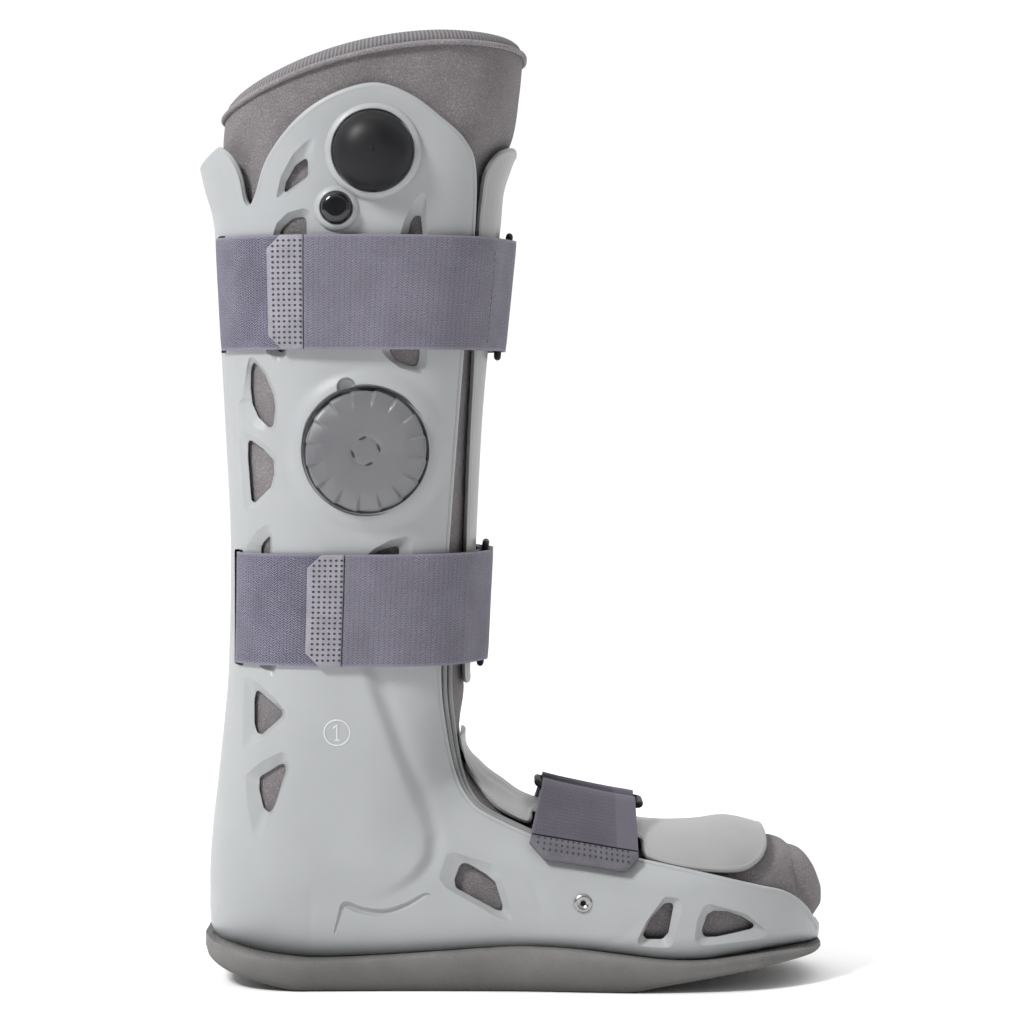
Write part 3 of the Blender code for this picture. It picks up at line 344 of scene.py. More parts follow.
def sectionGrid(rows, turns, out=0.0):
    # Points of every section at every turn: an array of sections, turns and X, Y, Z
    rows = np.atleast_2d(rows)
    frontX, frontZ, backX, backZ, width, frontSquare, backSquare, flare, crown = (
        rows[:, column][:, None] for column in range(9)
    )
    backX = backX - flare
    turns = np.asarray(turns)
    if turns.ndim == 1:
        turns = turns[None, :]
    length = np.hypot(frontX - backX, frontZ - backZ)
    axisX, axisZ = (frontX - backX) / length, (frontZ - backZ) / length
    cosine, sine = np.cos(turns * math.tau), np.sin(turns * math.tau)
    square = np.where(cosine >= 0, frontSquare, backSquare)
    along = np.sign(cosine) * np.abs(cosine) ** (2 / square)
    across = np.sign(sine) * np.abs(sine) ** (2 / square)
    reach = length / 2 + out
    x = (frontX + backX) / 2 + axisX * reach * along
    y = (width + out) * across
    z = (frontZ + backZ) / 2 + axisZ * reach * along + crown * (1 - along**2)
    return np.stack([x, y, z], axis=2)


def evenTurns(rows, count, out=0.0):
    # Turns that divide each section's edge into equal lengths, so that the mesh is even
    fine = 0.5 * (np.linspace(0, 1, 601) ** 1.6)
    fine = np.unique(np.concatenate([fine, 0.5 - fine]))
    fine = fine[(fine >= 0) & (fine <= 0.5)]
    half = count // 2
    turns = []
    for row in np.atleast_2d(rows):
        points = sectionGrid(row, fine, out)[0]
        steps = np.linalg.norm(np.diff(points, axis=0), axis=1)
        distance = np.concatenate([[0], np.cumsum(steps)])
        one = np.interp(np.linspace(0, distance[-1], half + 1), distance, fine)
        turns.append(np.concatenate([one, 1 - one[1:-1][::-1]]))
    return np.array(turns)


def fineRows(rows, spacing, first=0, last=None):
    # More sections between the given ones, about this far apart where the edge moves most
    last = len(rows) - 1 if last is None else last
    made = []
    for index in range(first, last):
        start, end = rows[index], rows[index + 1]
        reach = max(math.hypot(end[0] - start[0], end[1] - start[1]),
                    math.hypot(end[2] - start[2], end[3] - start[3]))
        steps = max(1, math.ceil(reach / spacing))
        made += [rowAt(rows, index + step / steps) for step in range(steps)]
    made.append(rows[last])
    return np.array(made)


def meshObject(name, points, faces, look=None, smoothAngle=40, uv=None):
    mesh = bpy.data.meshes.new(name)
    mesh.from_pydata([tuple(point) for point in points], [], faces)
    if uv is not None:
        layer = mesh.uv_layers.new(name="weave")
        for loop in mesh.loops:
            layer.data[loop.index].uv = uv[loop.vertex_index]
    edit = bmesh.new()
    edit.from_mesh(mesh)
    bmesh.ops.recalc_face_normals(edit, faces=edit.faces)
    edit.to_mesh(mesh)
    edit.free()
    made = bpy.data.objects.new(name, mesh)
    bpy.context.scene.collection.objects.link(made)
    if look:
        mesh.materials.append(look)
    mesh.shade_smooth()
    if smoothAngle:
        mesh.set_sharp_from_angle(angle=math.radians(smoothAngle))
    return made


def gridFaces(levels, count, closedRound=True, closedAlong=False, start=0):
    faces = []
    for level in range(levels if closedAlong else levels - 1):
        low, high = start + level * count, start + (level + 1) % levels * count
        for step in range(count if closedRound else count - 1):
            following = (step + 1) % count
            faces.append((low + step, low + following, high + following, high + step))
    return faces


def loftObject(name, grid, look=None, smoothAngle=40, closedAlong=False):
    levels, count = grid.shape[:2]
    faces = gridFaces(levels, count, True, closedAlong)
    if not closedAlong:
        faces.append(tuple(range(count)))
        faces.append(tuple(range((levels - 1) * count, levels * count)))
    return meshObject(name, grid.reshape(-1, 3), faces, look, smoothAngle)


def removeObject(made):
    mesh = made.data
    bpy.data.objects.remove(made)
    bpy.data.meshes.remove(mesh)


def booleanChange(target, tool, operation, solver="MANIFOLD"):
    change = target.modifiers.new("change", "BOOLEAN")
    change.object = tool
    change.operation = operation
    change.solver = solver
    applyModifiers(target)
    removeObject(tool)


def applyModifiers(target):
    graph = bpy.context.evaluated_depsgraph_get()
    mesh = bpy.data.meshes.new_from_object(target.evaluated_get(graph))
    old = target.data
    target.modifiers.clear()
    target.data = mesh
    bpy.data.meshes.remove(old)


def joinObjects(name, parts):
    # Joins the parts into one mesh, with their materials
    bpy.ops.object.select_all(action="DESELECT")
    for part in parts:
        part.select_set(True)
    bpy.context.view_layer.objects.active = parts[0]
    if len(parts) > 1:
        bpy.ops.object.join()
    parts[0].name = name
    parts[0].data.name = name
    return parts[0]


def sidePoint(place):
    return place[0] * bootLength, place[1] * bootHeight


def smoothLine(places, steps):
    points = [np.array(sidePoint(place)) for place in places]
    line = []
    for index in range(len(points) - 1):
        before = points[max(index - 1, 0)]
        after = points[min(index + 2, len(points) - 1)]
        line += [smoothValues(before, points[index], points[index + 1], after, step / steps)
                 for step in range(steps)]
    line.append(points[-1])
    return [tuple(point) for point in line]


def roundedOutline(points, radius, steps=5):
    outline = []
    count = len(points)
    for index in range(count):
        corner = Vector(points[index])
        toBefore = Vector(points[index - 1]) - corner
        toAfter = Vector(points[(index + 1) % count]) - corner
        reach = radius / math.tan(toBefore.angle(toAfter) / 2)
        reach = min(reach, 0.45 * toBefore.length, 0.45 * toAfter.length)
        start = corner + toBefore.normalized() * reach
        end = corner + toAfter.normalized() * reach
        for step in range(steps):
            share = step / (steps - 1)
            inner = start.lerp(corner, share).lerp(corner.lerp(end, share), share)
            outline.append(tuple(inner))
    return outline


rows = envelopeRows()
denseRows = fineRows(rows, 0.0016)


def sideWidth(x, z, out=0.0):
    # How far out the outer surface stands at this place, as seen from the side
    frontX, frontZ = denseRows[:, 0], denseRows[:, 1]
    backX, backZ = denseRows[:, 2] - denseRows[:, 7], denseRows[:, 3]
    spanX, spanZ = frontX - backX, frontZ - backZ
    length = np.hypot(spanX, spanZ)
    offset = (x - backX) * spanZ / length - (z - backZ) * spanX / length
    middle = ((x - (frontX + backX) / 2) * spanX + (z - (frontZ + backZ) / 2) * spanZ) / length
    inside = np.abs(middle) <= length / 2 + 0.02
    cross = np.where((offset[:-1] * offset[1:] <= 0) & (inside[:-1] | inside[1:]))[0]
    best = 0.0
    for index in cross:
        share = offset[index] / (offset[index] - offset[index + 1] + 1e-12)
        row = denseRows[index] * (1 - share) + denseRows[index + 1] * share
        back = row[2] - row[7]
        axis = np.array([row[0] - back, row[1] - row[3]])
        size = np.hypot(*axis)
        along = ((x - (row[0] + back) / 2) * axis[0] + (z - (row[1] + row[3]) / 2) * axis[1])
        along /= size * (size / 2 + out)
        if abs(along) < 1:
            square = row[5] if along >= 0 else row[6]
            best = max(best, (row[4] + out) * (1 - abs(along) ** square) ** (1 / square))
    return best


def prismObject(name, outline, low=-legWidth, high=legWidth):
    grid = np.array([[(x, y, z) for x, z in outline] for y in (low, high)])
    return loftObject(name, grid)


def circlePoints(place, radius, y, sides, turn=0.0):
    x, z = place
    return [(x + radius * math.cos(math.tau * (step + turn) / sides), y,
             z + radius * math.sin(math.tau * (step + turn) / sides)) for step in range(sides)]


def turnedObject(name, place, levels, sides, look=None, smoothAngle=40):
    # A round piece on the near side: levels hold how far out and how wide
    grid = np.array([circlePoints(place, radius, -out, sides) for out, radius in levels])
    return loftObject(name, grid, look, smoothAngle)


def tubeObject(name, points, radius, look=None, sides=8, closed=False):
    # A round bar along points, made by hand so that it stays one mesh
    points = [Vector(point) for point in points]
    count = len(points)
    rings = []
    lastSide = None
    for index, point in enumerate(points):
        before = points[index - 1] if closed or index else points[index]
        after = points[(index + 1) % count] if closed or index < count - 1 else points[index]
        along = (after - before).normalized()
        if lastSide is None:
            lastSide = along.orthogonal().normalized()
        side = (lastSide - along * lastSide.dot(along)).normalized()
        lastSide = side
        up = along.cross(side)
        size = radius[index] if isinstance(radius, (list, tuple)) else radius
        rings.append([tuple(point + side * (size * math.cos(math.tau * step / sides))
                            + up * (size * math.sin(math.tau * step / sides)))
                      for step in range(sides)])
    grid = np.array(rings)
    if not closed:
        return loftObject(name, grid, look, 60)
    # The last ring is turned to meet the first, so that the tube closes without a twist
    first, last = grid[0], grid[-1]
    shifts = [np.linalg.norm(np.roll(last, shift, axis=0) - first) for shift in range(sides)]
    best = int(np.argmin(shifts))
    faces = gridFaces(len(grid), sides)
    start = (len(grid) - 1) * sides
    for step in range(sides):
        following = (step + 1) % sides
        faces.append((start + (step - best) % sides, start + (following - best) % sides,
                      following, step))
    return meshObject(name, grid.reshape(-1, 3), faces, look, 60)


def newMaterial(name, colour, roughness, metallic=0.0, specular=0.5):
    made = bpy.data.materials.new(name)
    made.use_nodes = True
    shader = made.node_tree.nodes["Principled BSDF"]
    shader.inputs["Base Color"].default_value = (*colour, 1.0)
    shader.inputs["Roughness"].default_value = roughness
    shader.inputs["Metallic"].default_value = metallic
    shader.inputs["Specular IOR Level"].default_value = specular
    return made


class Nodes:
    # Short names for building a material's nodes

    def __init__(self, made):
        self.tree = made.node_tree
        self.shader = self.tree.nodes["Principled BSDF"]
        self.coords = self.tree.nodes.new("ShaderNodeTexCoord")

    def link(self, source, target):
        self.tree.links.new(source, target)

    def node(self, kind, values, source=None, socket="Vector"):
        made = self.tree.nodes.new("ShaderNode" + kind)
        for name, value in values.items():
            made.inputs[name].default_value = value
        if source is not None:
            self.link(source, made.inputs[0 if kind == "SeparateXYZ" else socket])
        return made

    def sheen(self, weight, roughness):
        self.shader.inputs["Sheen Weight"].default_value = weight
        self.shader.inputs["Sheen Roughness"].default_value = roughness

    def threads(self, lines, pitch):
        waves = self.mathNode("SINE", self.mathNode("MULTIPLY", lines, math.tau / pitch))
        return self.range(waves, 0.0, 1.0, -0.9, 0.9)

    def noise(self, scale, detail=2.0, roughness=0.5, stretch=None):
        values = {"Scale": scale, "Detail": detail, "Roughness": roughness}
        return self.node("TexNoise", values, self.mapped(stretch)).outputs["Fac"]

    def voronoi(self, scale):
        return self.node("TexVoronoi", {"Scale": scale}, self.mapped()).outputs["Distance"]

    def mapped(self, stretch=None, turn=None):
        output = self.coords.outputs["Object"]
        if stretch is None and turn is None:
            return output
        values = {}
        if stretch is not None:
            values["Scale"] = stretch
        if turn is not None:
            values["Rotation"] = turn
        return self.node("Mapping", values, output).outputs["Vector"]

    def axes(self, source):
        return self.node("SeparateXYZ", {}, self.coords.outputs[source]).outputs

    def mathNode(self, operation, first, second=None):
        node = self.tree.nodes.new("ShaderNodeMath")
        node.operation = operation
        for index, value in enumerate((first, second)):
            if isinstance(value, (int, float)):
                node.inputs[index].default_value = value
            elif value is not None:
                self.link(value, node.inputs[index])
        return node.outputs[0]

    def weighted(self, first, firstShare, second, secondShare):
        return self.mathNode("ADD", self.mathNode("MULTIPLY", first, firstShare),
                             self.mathNode("MULTIPLY", second, secondShare))

    def ramp(self, source, stops):
        node = self.tree.nodes.new("ShaderNodeValToRGB")
        while len(node.color_ramp.elements) < len(stops):
            node.color_ramp.elements.new(0.5)
        for element, (place, colour) in zip(node.color_ramp.elements, stops):
            element.position = place
            element.color = (*colour, 1.0) if len(colour) == 3 else colour
        self.link(source, node.inputs["Fac"])
        return node.outputs["Color"]

    def mix(self, share, first, second, blend="MIX"):
        node = self.tree.nodes.new("ShaderNodeMix")
        node.data_type = "RGBA"
        node.blend_type = blend
        for socket, value in ((node.inputs["Factor"], share), (node.inputs["A"], first),
                              (node.inputs["B"], second)):
            if isinstance(value, (int, float)):
                socket.default_value = value
            elif isinstance(value, tuple):
                socket.default_value = (*value, 1.0)
            else:
                self.link(value, socket)
        return node.outputs["Result"]

    def range(self, source, low, high, fromLow=0.0, fromHigh=1.0):
        values = {"From Min": fromLow, "From Max": fromHigh, "To Min": low, "To Max": high}
        return self.node("MapRange", values, source, "Value").outputs["Result"]

    def bump(self, height, strength, distance, normal=None):
        node = self.node("Bump", {"Strength": strength, "Distance": distance}, height, "Height")
        if normal is not None:
            self.link(normal, node.inputs["Normal"])
        return node.outputs["Normal"]

    def colour(self, source):
        self.link(source, self.shader.inputs["Base Color"])

    def rough(self, source):
        self.link(source, self.shader.inputs["Roughness"])

    def normal(self, source):
        self.link(source, self.shader.inputs["Normal"])


def mouldedPlastic(name, colour, dark, roughness, grain=0.00005, edge=0.0007):
    # Moulded plastic: softened edges, a fine grain, faint clouding and handling scuffs
    made = newMaterial(name, colour, roughness, specular=0.45)
    n = Nodes(made)
    clouds = n.noise(28.0, 3.0)
    n.colour(n.ramp(clouds, [(0.30, dark), (0.62, colour)]))
    fine = n.noise(2600.0, 2.0)
    scuffs = n.noise(900.0, 2.0, stretch=(1.0, 1.0, 0.08))
    rough = n.mathNode("ADD", n.range(scuffs, -0.04, 0.07, 0.35, 0.75),
                       n.range(fine, roughness - 0.04, roughness + 0.05, 0.3, 0.7))
    n.rough(rough)
    rounded = n.tree.nodes.new("ShaderNodeBevel")
    rounded.samples = 4
    rounded.inputs["Radius"].default_value = edge
    soft = n.bump(n.noise(55.0, 1.0), 0.20, 0.0005, rounded.outputs["Normal"])
    n.normal(n.bump(fine, 0.5, grain, soft))
    return made


def lighterStops(stops, lighter):
    return [(place, tuple(value * lighter for value in colour)) for place, colour in stops]


def linerLook(name="liner fabric", lighter=1.0):
    # Soft napped fabric, as small cells with fuzz over them and faint wear
    made = newMaterial(name, (0.235, 0.22, 0.225), 0.92, specular=0.2)
    n = Nodes(made)
    n.sheen(0.12, 0.5)
    n.shader.inputs["Sheen Tint"].default_value = (0.75, 0.74, 0.76, 1.0)
    fuzz = n.noise(2600.0, 3.0, 0.6)
    cells = n.voronoi(1700.0)
    stops = ((0.28, (0.104, 0.096, 0.098)), (0.55, (0.160, 0.148, 0.151)),
             (0.82, (0.238, 0.222, 0.226)))
    base = n.ramp(n.weighted(cells, 0.55, fuzz, 0.5), lighterStops(stops, lighter))
    worn = n.ramp(n.noise(45.0, 4.0, 0.6), [(0.35, (0.86, 0.86, 0.87)), (0.70, (1.08, 1.07, 1.07))])
    n.colour(n.mix(1.0, base, worn, "MULTIPLY"))
    n.normal(n.bump(n.mathNode("ADD", cells, fuzz), 0.8, 0.00035))
    return made


def ribbedFabric(name, dark, light, pitch):
    # Knitted binding with fine ribs that run over the rim
    made = newMaterial(name, light, 0.92, specular=0.15)
    n = Nodes(made)
    wobble = n.mathNode("MULTIPLY", n.noise(500.0, 2.0), 0.0006)
    lines = n.mathNode("ADD", n.axes("UV")[0], wobble)
    height = n.weighted(n.threads(lines, pitch), 0.65, n.noise(2400.0, 2.0, 0.6), 0.35)
    n.colour(n.ramp(height, [(0.15, dark), (0.75, light)]))
    n.normal(n.bump(height, 0.8, 0.00035))
    return made


def webbingLook(name, dark, light, column, pitch, slope, fuzzy, width=strapWidth):
    # Woven band: herringbone threads in columns across the strap, with fuzz and edge binding.
    # The map runs along and across the strap in metres.
    made = newMaterial(name, light, 0.88, specular=0.15)
    n = Nodes(made)
    n.sheen(0.10, 0.45)
    place = n.axes("UV")
    fuzz = n.noise(2300.0, 2.0, 0.6)
    wobble = n.mathNode("MULTIPLY", n.mathNode("SUBTRACT", n.noise(420.0, 3.0), 0.5), 0.0011)
    along = n.mathNode("ADD", place[0], wobble)
    across = n.mathNode("ADD", place[1], wobble)
    saw = n.mathNode("PINGPONG", along, column)
    lines = n.mathNode("ADD", across, n.mathNode("MULTIPLY", saw, slope))
    fromMiddle = n.mathNode("ABSOLUTE", n.mathNode("SUBTRACT", saw, column / 2))
    seam = n.range(fromMiddle, 1.0, 0.35, column * 0.34, column * 0.5)
    woven = n.mathNode("MULTIPLY", n.threads(lines, pitch), seam)
    height = n.weighted(woven, 1.0 - fuzzy, fuzz, fuzzy)
    border = n.mathNode("ABSOLUTE", n.mathNode("SUBTRACT", place[1], width / 2))
    binding = n.range(border, 0.0, 0.55, width / 2 - 0.0014, width / 2 - 0.0004)
    base = n.ramp(height, [(0.12, dark), (0.78, light)])
    shaded = n.mix(n.range(n.noise(60.0, 3.0), 0.0, 0.35, 0.35, 0.8), base, dark)
    n.colour(n.mix(binding, shaded, light))
    n.normal(n.bump(height, 0.8, 0.00030))
    return made


def hookPlateLook(name, lighter=1.0):
    # Moulded hook plate with a fine grain
    made = newMaterial(name, (0.33, 0.315, 0.36), 0.6, specular=0.35)
    n = Nodes(made)
    fine = n.noise(2400.0, 2.0)
    stops = ((0.35, (0.165, 0.157, 0.184)), (0.68, (0.268, 0.258, 0.296)))
    shade = n.weighted(fine, 0.6, n.noise(150.0, 3.0), 0.4)
    n.colour(n.ramp(shade, lighterStops(stops, lighter)))
    n.normal(n.bump(fine, 0.8, 0.00018))
    return made


def rubberLook():
    # Rubber with slanting ribs, with painted shade that darkens it towards the ground
    made = newMaterial("sole rubber", (0.30, 0.285, 0.28), 0.78, specular=0.35)
    n = Nodes(made)
    height = n.axes("Object")[2]
    clouds = n.noise(38.0, 4.0, 0.6)
    bareRubber = n.ramp(clouds, [(0.30, (0.122, 0.119, 0.116)), (0.70, (0.166, 0.162, 0.158))])
    # painted shade: the colour darkens over the lowest 16 mm, towards the ground
    paintedGroundShade = n.range(height, 0.92, 0.0, 0.0, 0.016)
    n.colour(n.mix(paintedGroundShade, bareRubber, (0.055, 0.053, 0.052)))
    slant = n.mapped(turn=(0.0, math.radians(32), 0.0))
    ribs = n.node("TexWave", {"Scale": 210.0, "Distortion": 1.2}, slant).outputs["Fac"]
    fine = n.noise(1500.0, 3.0)
    rough = n.mathNode("ADD", n.mathNode("MULTIPLY", ribs, 0.5), fine)
    n.normal(n.bump(rough, 0.6, 0.0002))
    n.rough(n.range(fine, 0.70, 0.90, 0.3, 0.7))
    return made


def glossBlack(name, roughness, coat=0.0, specular=0.28):
    made = newMaterial(name, (0.008, 0.008, 0.009), roughness, specular=specular)
    n = Nodes(made)
    n.shader.inputs["Coat Weight"].default_value = coat
    smudge = n.noise(55.0, 3.0)
    n.rough(n.range(smudge, roughness - 0.05, roughness + 0.10, 0.3, 0.7))
    n.normal(n.bump(n.noise(1800.0, 2.0), 0.25, 0.00003))
    n.colour(n.ramp(smudge, [(0.3, (0.006, 0.006, 0.007)), (0.8, (0.012, 0.012, 0.014))]))
    return made


shellLook = mouldedPlastic("shell plastic", (0.302, 0.311, 0.318), (0.284, 0.293, 0.300), 0.42)
panelLook = mouldedPlastic("panel plastic", (0.232, 0.235, 0.231), (0.212, 0.215, 0.211), 0.40)
# the inner lip is shell plastic darkened as painted shade on the rim's inner side
shadedLipLook = mouldedPlastic("inner lip plastic in painted shade", (0.185, 0.187, 0.190), (0.145, 0.147, 0.150), 0.32)
dialLook = mouldedPlastic("dial plastic", (0.125, 0.126, 0.133), (0.106, 0.107, 0.114), 0.36,
                          edge=0.0003)
liningLook = linerLook()
pipingLook = linerLook("piping fabric", 1.35)
ribbedLook = ribbedFabric("ribbed rim", (0.112, 0.106, 0.113), (0.195, 0.188, 0.197), 0.0016)
loopLook = webbingLook("loop webbing", (0.018, 0.016, 0.028), (0.218, 0.210, 0.272),
                       0.0016, 0.00110, 0.85, 0.50)
strapLook = webbingLook("strap webbing", (0.058, 0.054, 0.072), (0.218, 0.208, 0.253),
                        0.0022, 0.00110, 0.75, 0.55)
footBandLook = webbingLook("foot strap webbing", (0.040, 0.036, 0.048), (0.112, 0.104, 0.130),
                           0.0022, 0.00110, 0.75, 0.55, footStrapWidth)
hookLook = hookPlateLook("hook patch")
footHookLook = hookPlateLook("foot hook patch", 0.40)
soleLook = rubberLook()
blackLook = glossBlack("black plastic", 0.50, 0.0, 0.08)
buttonLook = glossBlack("button plastic", 0.16, 0.5)
bulbLook = glossBlack("bulb rubber", 0.48, 0.0, 0.20)
# painted shade: a near-black material put on gaps, slots, sunk dots and hollows in place of their
# shade
paintedShadeLook = newMaterial("shadow gap", (0.03, 0.03, 0.034), 0.9)
markLook = newMaterial("raised mark", (0.48, 0.49, 0.50), 0.5)
threadLook = newMaterial("stitch thread", (0.16, 0.15, 0.17), 0.8)
steelLook = newMaterial("rivet steel", (0.32, 0.32, 0.32), 0.30, 1.0)
steelNodes = Nodes(steelLook)
steelNodes.rough(steelNodes.range(steelNodes.noise(900.0, 2.0), 0.22, 0.42, 0.3, 0.7))


shellSizes = {
    "spacing": 0.0018,
    "around": 208,
    "innerSpacing": 0.005,
    "innerAround": 96,
    "innerAbove": 0.004,
    "rimRadius": 0.00160,
    "reliefFrom": 0.030,
    # the ankle boss: its rise, how it fades, its edge's slope and the heights it fades over
    "bossRise": 0.0026,
    "bossFade": 0.040,
    "bossSlope": (-0.0026, 0.0036),
    "bossTop": (0.125, 0.190),
    "bossFoot": (0.036, 0.062),
    "valleyDepth": 0.0012,
    "valleyWidth": 0.0034,
    "seamDepth": 0.00045,
    "seamWidth": 0.0013,
    "bonePlace": (-0.062, 0.066),
    "boneRadius": 0.024,
    "boneRise": 0.0012,
    "stepRise": 0.0007,
    "stepHeight": (0.024, 0.030),
    "stepStart": (-0.02, 0.04),
    "bezelRise": 0.0028,
    "bezelReach": 0.0080,
    "bezelGap": 0.0018,
    # the round bosses under the bulb and the button
    "fittingSunk": 0.0004,
    "fittingSpread": 0.0016,
    "fingerPocket": ((-0.0036, 0.0018), (-0.0030, 0.0034), (-0.0010, 0.0041), (0.004, 0.0044)),
    "creaseRadius": 0.0016,
    "creaseOut": 0.0002,
    "slotCorner": 0.0012,
    "rivetHole": 0.0024,
}
# Pockets for the fittings: place, radius, depth and the width of the boss's lip
shellPockets = (
    (bulbPlace, bulbRadius + 0.0005, bossRise, 0.0016),
    (buttonPlace, buttonRadius + 0.0005, bossRise + 0.0018, 0.0014),
    (dialPlace, dialRadius + 0.0009, bossRise, None),
)
windowSizes = {
    "recessDepth": 0.0026,
    "lipSlope": 0.12,
    "lipDepth": 0.0005,
    "holeDepth": 0.012,
    "beyond": 0.004,
}
markSizes = {
    "radius": 0.0057,
    "line": 0.00042,
    "sunk": 0.6,
    "sides": 72,
    "steps": 8,
    "strokes": (((0.0, 0.62), (0.0, -0.60)), ((0.02, 0.62), (-0.30, 0.34)),
                ((-0.22, -0.60), (0.22, -0.60))),
}
# Strips inside the rim: how far ahead, how far out, radius
lipSizes = {
    "corners": (17, 24),
    "steps": 10,
    "taper": 0.75,
    "strips": ((0.0030, -0.0030, 0.0014), (0.0058, -0.0040, 0.0013)),
}
beadSizes = {
    "sides": 10,
    "leastWidth": 0.004,
    "crossSteps": 14,
    "crossReach": 0.045,
}


def softStep(value, low, high):
    share = np.clip((value - low) / (high - low), 0.0, 1.0)
    return share * share * (3 - 2 * share)


def lineDistance(x, z, places):
    # Distance to a line of places, which side it is on, and how far along it
    points = np.array([sidePoint(place) for place in places])
    lengths = np.linalg.norm(np.diff(points, axis=0), axis=1)
    total = lengths.sum()
    best = np.full(np.shape(x), 1e9)
    side, along = np.zeros(np.shape(x)), np.zeros(np.shape(x))
    passed = 0.0
    for (x0, z0), (x1, z1), length in zip(points, points[1:], lengths):
        dx, dz = (x1 - x0) / length, (z1 - z0) / length
        share = np.clip((x - x0) * dx + (z - z0) * dz, 0.0, length)
        offX, offZ = x - x0 - share * dx, z - z0 - share * dz
        distance = np.hypot(offX, offZ)
        closer = distance < best
        best = np.where(closer, distance, best)
        side = np.where(closer, np.sign(dx * (z - z0) - dz * (x - x0)), side)
        along = np.where(closer, (passed + share) / total, along)
        passed += length
    return best, side, along


def shellRelief(x, z, near=True):
    # How far the shell's side stands out past its plain surface, in metres
    x, z = np.asarray(x, float), np.asarray(z, float)
    relief = np.zeros(x.shape)
    distance, side, _ = lineDistance(x, z, bossEdge)
    signed = distance * -side
    start, end = shellSizes["bossSlope"]
    rise = softStep(signed, start, end)
    rise = rise * np.exp(-np.maximum(signed, 0.0) / shellSizes["bossFade"])
    ends = (1 - softStep(z, *shellSizes["bossTop"])) * softStep(z, *shellSizes["bossFoot"])
    relief += shellSizes["bossRise"] * rise * ends
    # the soft valley that runs along the boss's edge
    valley = np.exp(-(((signed - start) / shellSizes["valleyWidth"]) ** 2))
    relief -= shellSizes["valleyDepth"] * valley * ends
    for seam in shellSeams:
        away, _, share = lineDistance(x, z, seam)
        groove = shellSizes["seamDepth"] * np.exp(-((away / shellSizes["seamWidth"]) ** 2))
        relief -= groove * np.sin(math.pi * share) ** 0.5
    # the swelling over the ankle bone itself
    boneX, boneZ = shellSizes["bonePlace"]
    radius = shellSizes["boneRadius"]
    bone = np.hypot((x - boneX) / radius, (z - boneZ) / radius)
    relief += shellSizes["boneRise"] * (1 - softStep(bone, 0.0, 1.0))
    # a low step round the foot above the sole
    step = 1 - softStep(z, *shellSizes["stepHeight"])
    relief += shellSizes["stepRise"] * step * softStep(x, *shellSizes["stepStart"])
    if near:
        dialX, dialZ = sidePoint(dialPlace)
        away = np.hypot(x - dialX, z - dialZ)
        rim = dialRadius + shellSizes["bezelGap"]
        bezel = 1 - softStep(away, rim, rim + shellSizes["bezelReach"])
        relief += shellSizes["bezelRise"] * bezel
    return relief


def displaceSide(grid, amount):
    # Moves the grid's points sideways by a relief that is a function of X and Z
    x, y, z = grid[..., 0], grid[..., 1], grid[..., 2]
    sideways = np.clip(np.abs(y) / shellSizes["reliefFrom"], 0.0, 1.0)
    out = np.where(y < 0, amount(x, z), amount(x, z, False))
    grid[..., 1] = y + np.sign(y) * out * sideways
    return grid


def rayOutline(outline, centre, count=96):
    # The outline's points in even directions round a centre, so that two outlines match
    points = np.array(outline) - np.array(centre)
    following = np.roll(points, -1, axis=0)
    made = []
    for step in range(count):
        angle = math.tau * step / count
        dx, dz = math.cos(angle), math.sin(angle)
        best = 0.0
        for (ax, az), (bx, bz) in zip(points, following):
            ex, ez = bx - ax, bz - az
            bottom = dx * ez - dz * ex
            if abs(bottom) < 1e-12:
                continue
            reach = (ax * ez - az * ex) / bottom
            share = (ax * dz - az * dx) / bottom
            if reach > best and -1e-9 <= share <= 1 + 1e-9:
                best = reach
        made.append((centre[0] + dx * best, centre[1] + dz * best))
    return made


def edgeOutline(steps):
    edge = smoothLine(shellEdge, steps)
    beyond = bootLength / 2 + 0.05
    collarLow = edge[0][1] - collarFlare
    return edge, edge + [
        (beyond, edge[-1][1]),
        (beyond, -0.05),
        (-beyond, -0.05),
        (-beyond, collarLow),
        (rows[0][2] - rows[0][7], collarLow),
    ]


def windowCutter(hole, mouth):
    # A hole with a wider, sloping mouth: the moulded recess round a vent
    hole = roundedOutline([sidePoint(corner) for corner in hole], windowCorner)
    mouth = roundedOutline([sidePoint(corner) for corner in mouth], windowCorner)
    centre = np.mean(hole, axis=0)
    hole, mouth = rayOutline(hole, centre), rayOutline(mouth, centre)
    slope = windowSizes["lipSlope"]
    lip = [(mx + (hx - mx) * slope, mz + (hz - mz) * slope)
           for (mx, mz), (hx, hz) in zip(mouth, hole)]
    levels = ((mouth, windowSizes["beyond"]), (mouth, 0.0), (lip, -windowSizes["lipDepth"]),
              (hole, -windowSizes["recessDepth"]), (hole, -windowSizes["holeDepth"]))
    cutters = []
    for side in (-1.0, 1.0):
        grid = []
        for outline, offset in levels:
            ring = []
            for x, z in outline:
                y = sideWidth(x, z) + offset
                if outline is not hole:
                    y += float(shellRelief(x, z, side < 0))
                ring.append((x, side * y, z))
            grid.append(ring)
        cutters.append(np.array(grid))
    return cutters


def surfaceLine(places, steps, out, near=True):
    # Points along a smooth line of places on the shell's side
    side = -1.0 if near else 1.0
    return [(x, side * (sideWidth(x, z) + float(shellRelief(x, z, near)) + out), z)
            for x, z in smoothLine(places, steps)]


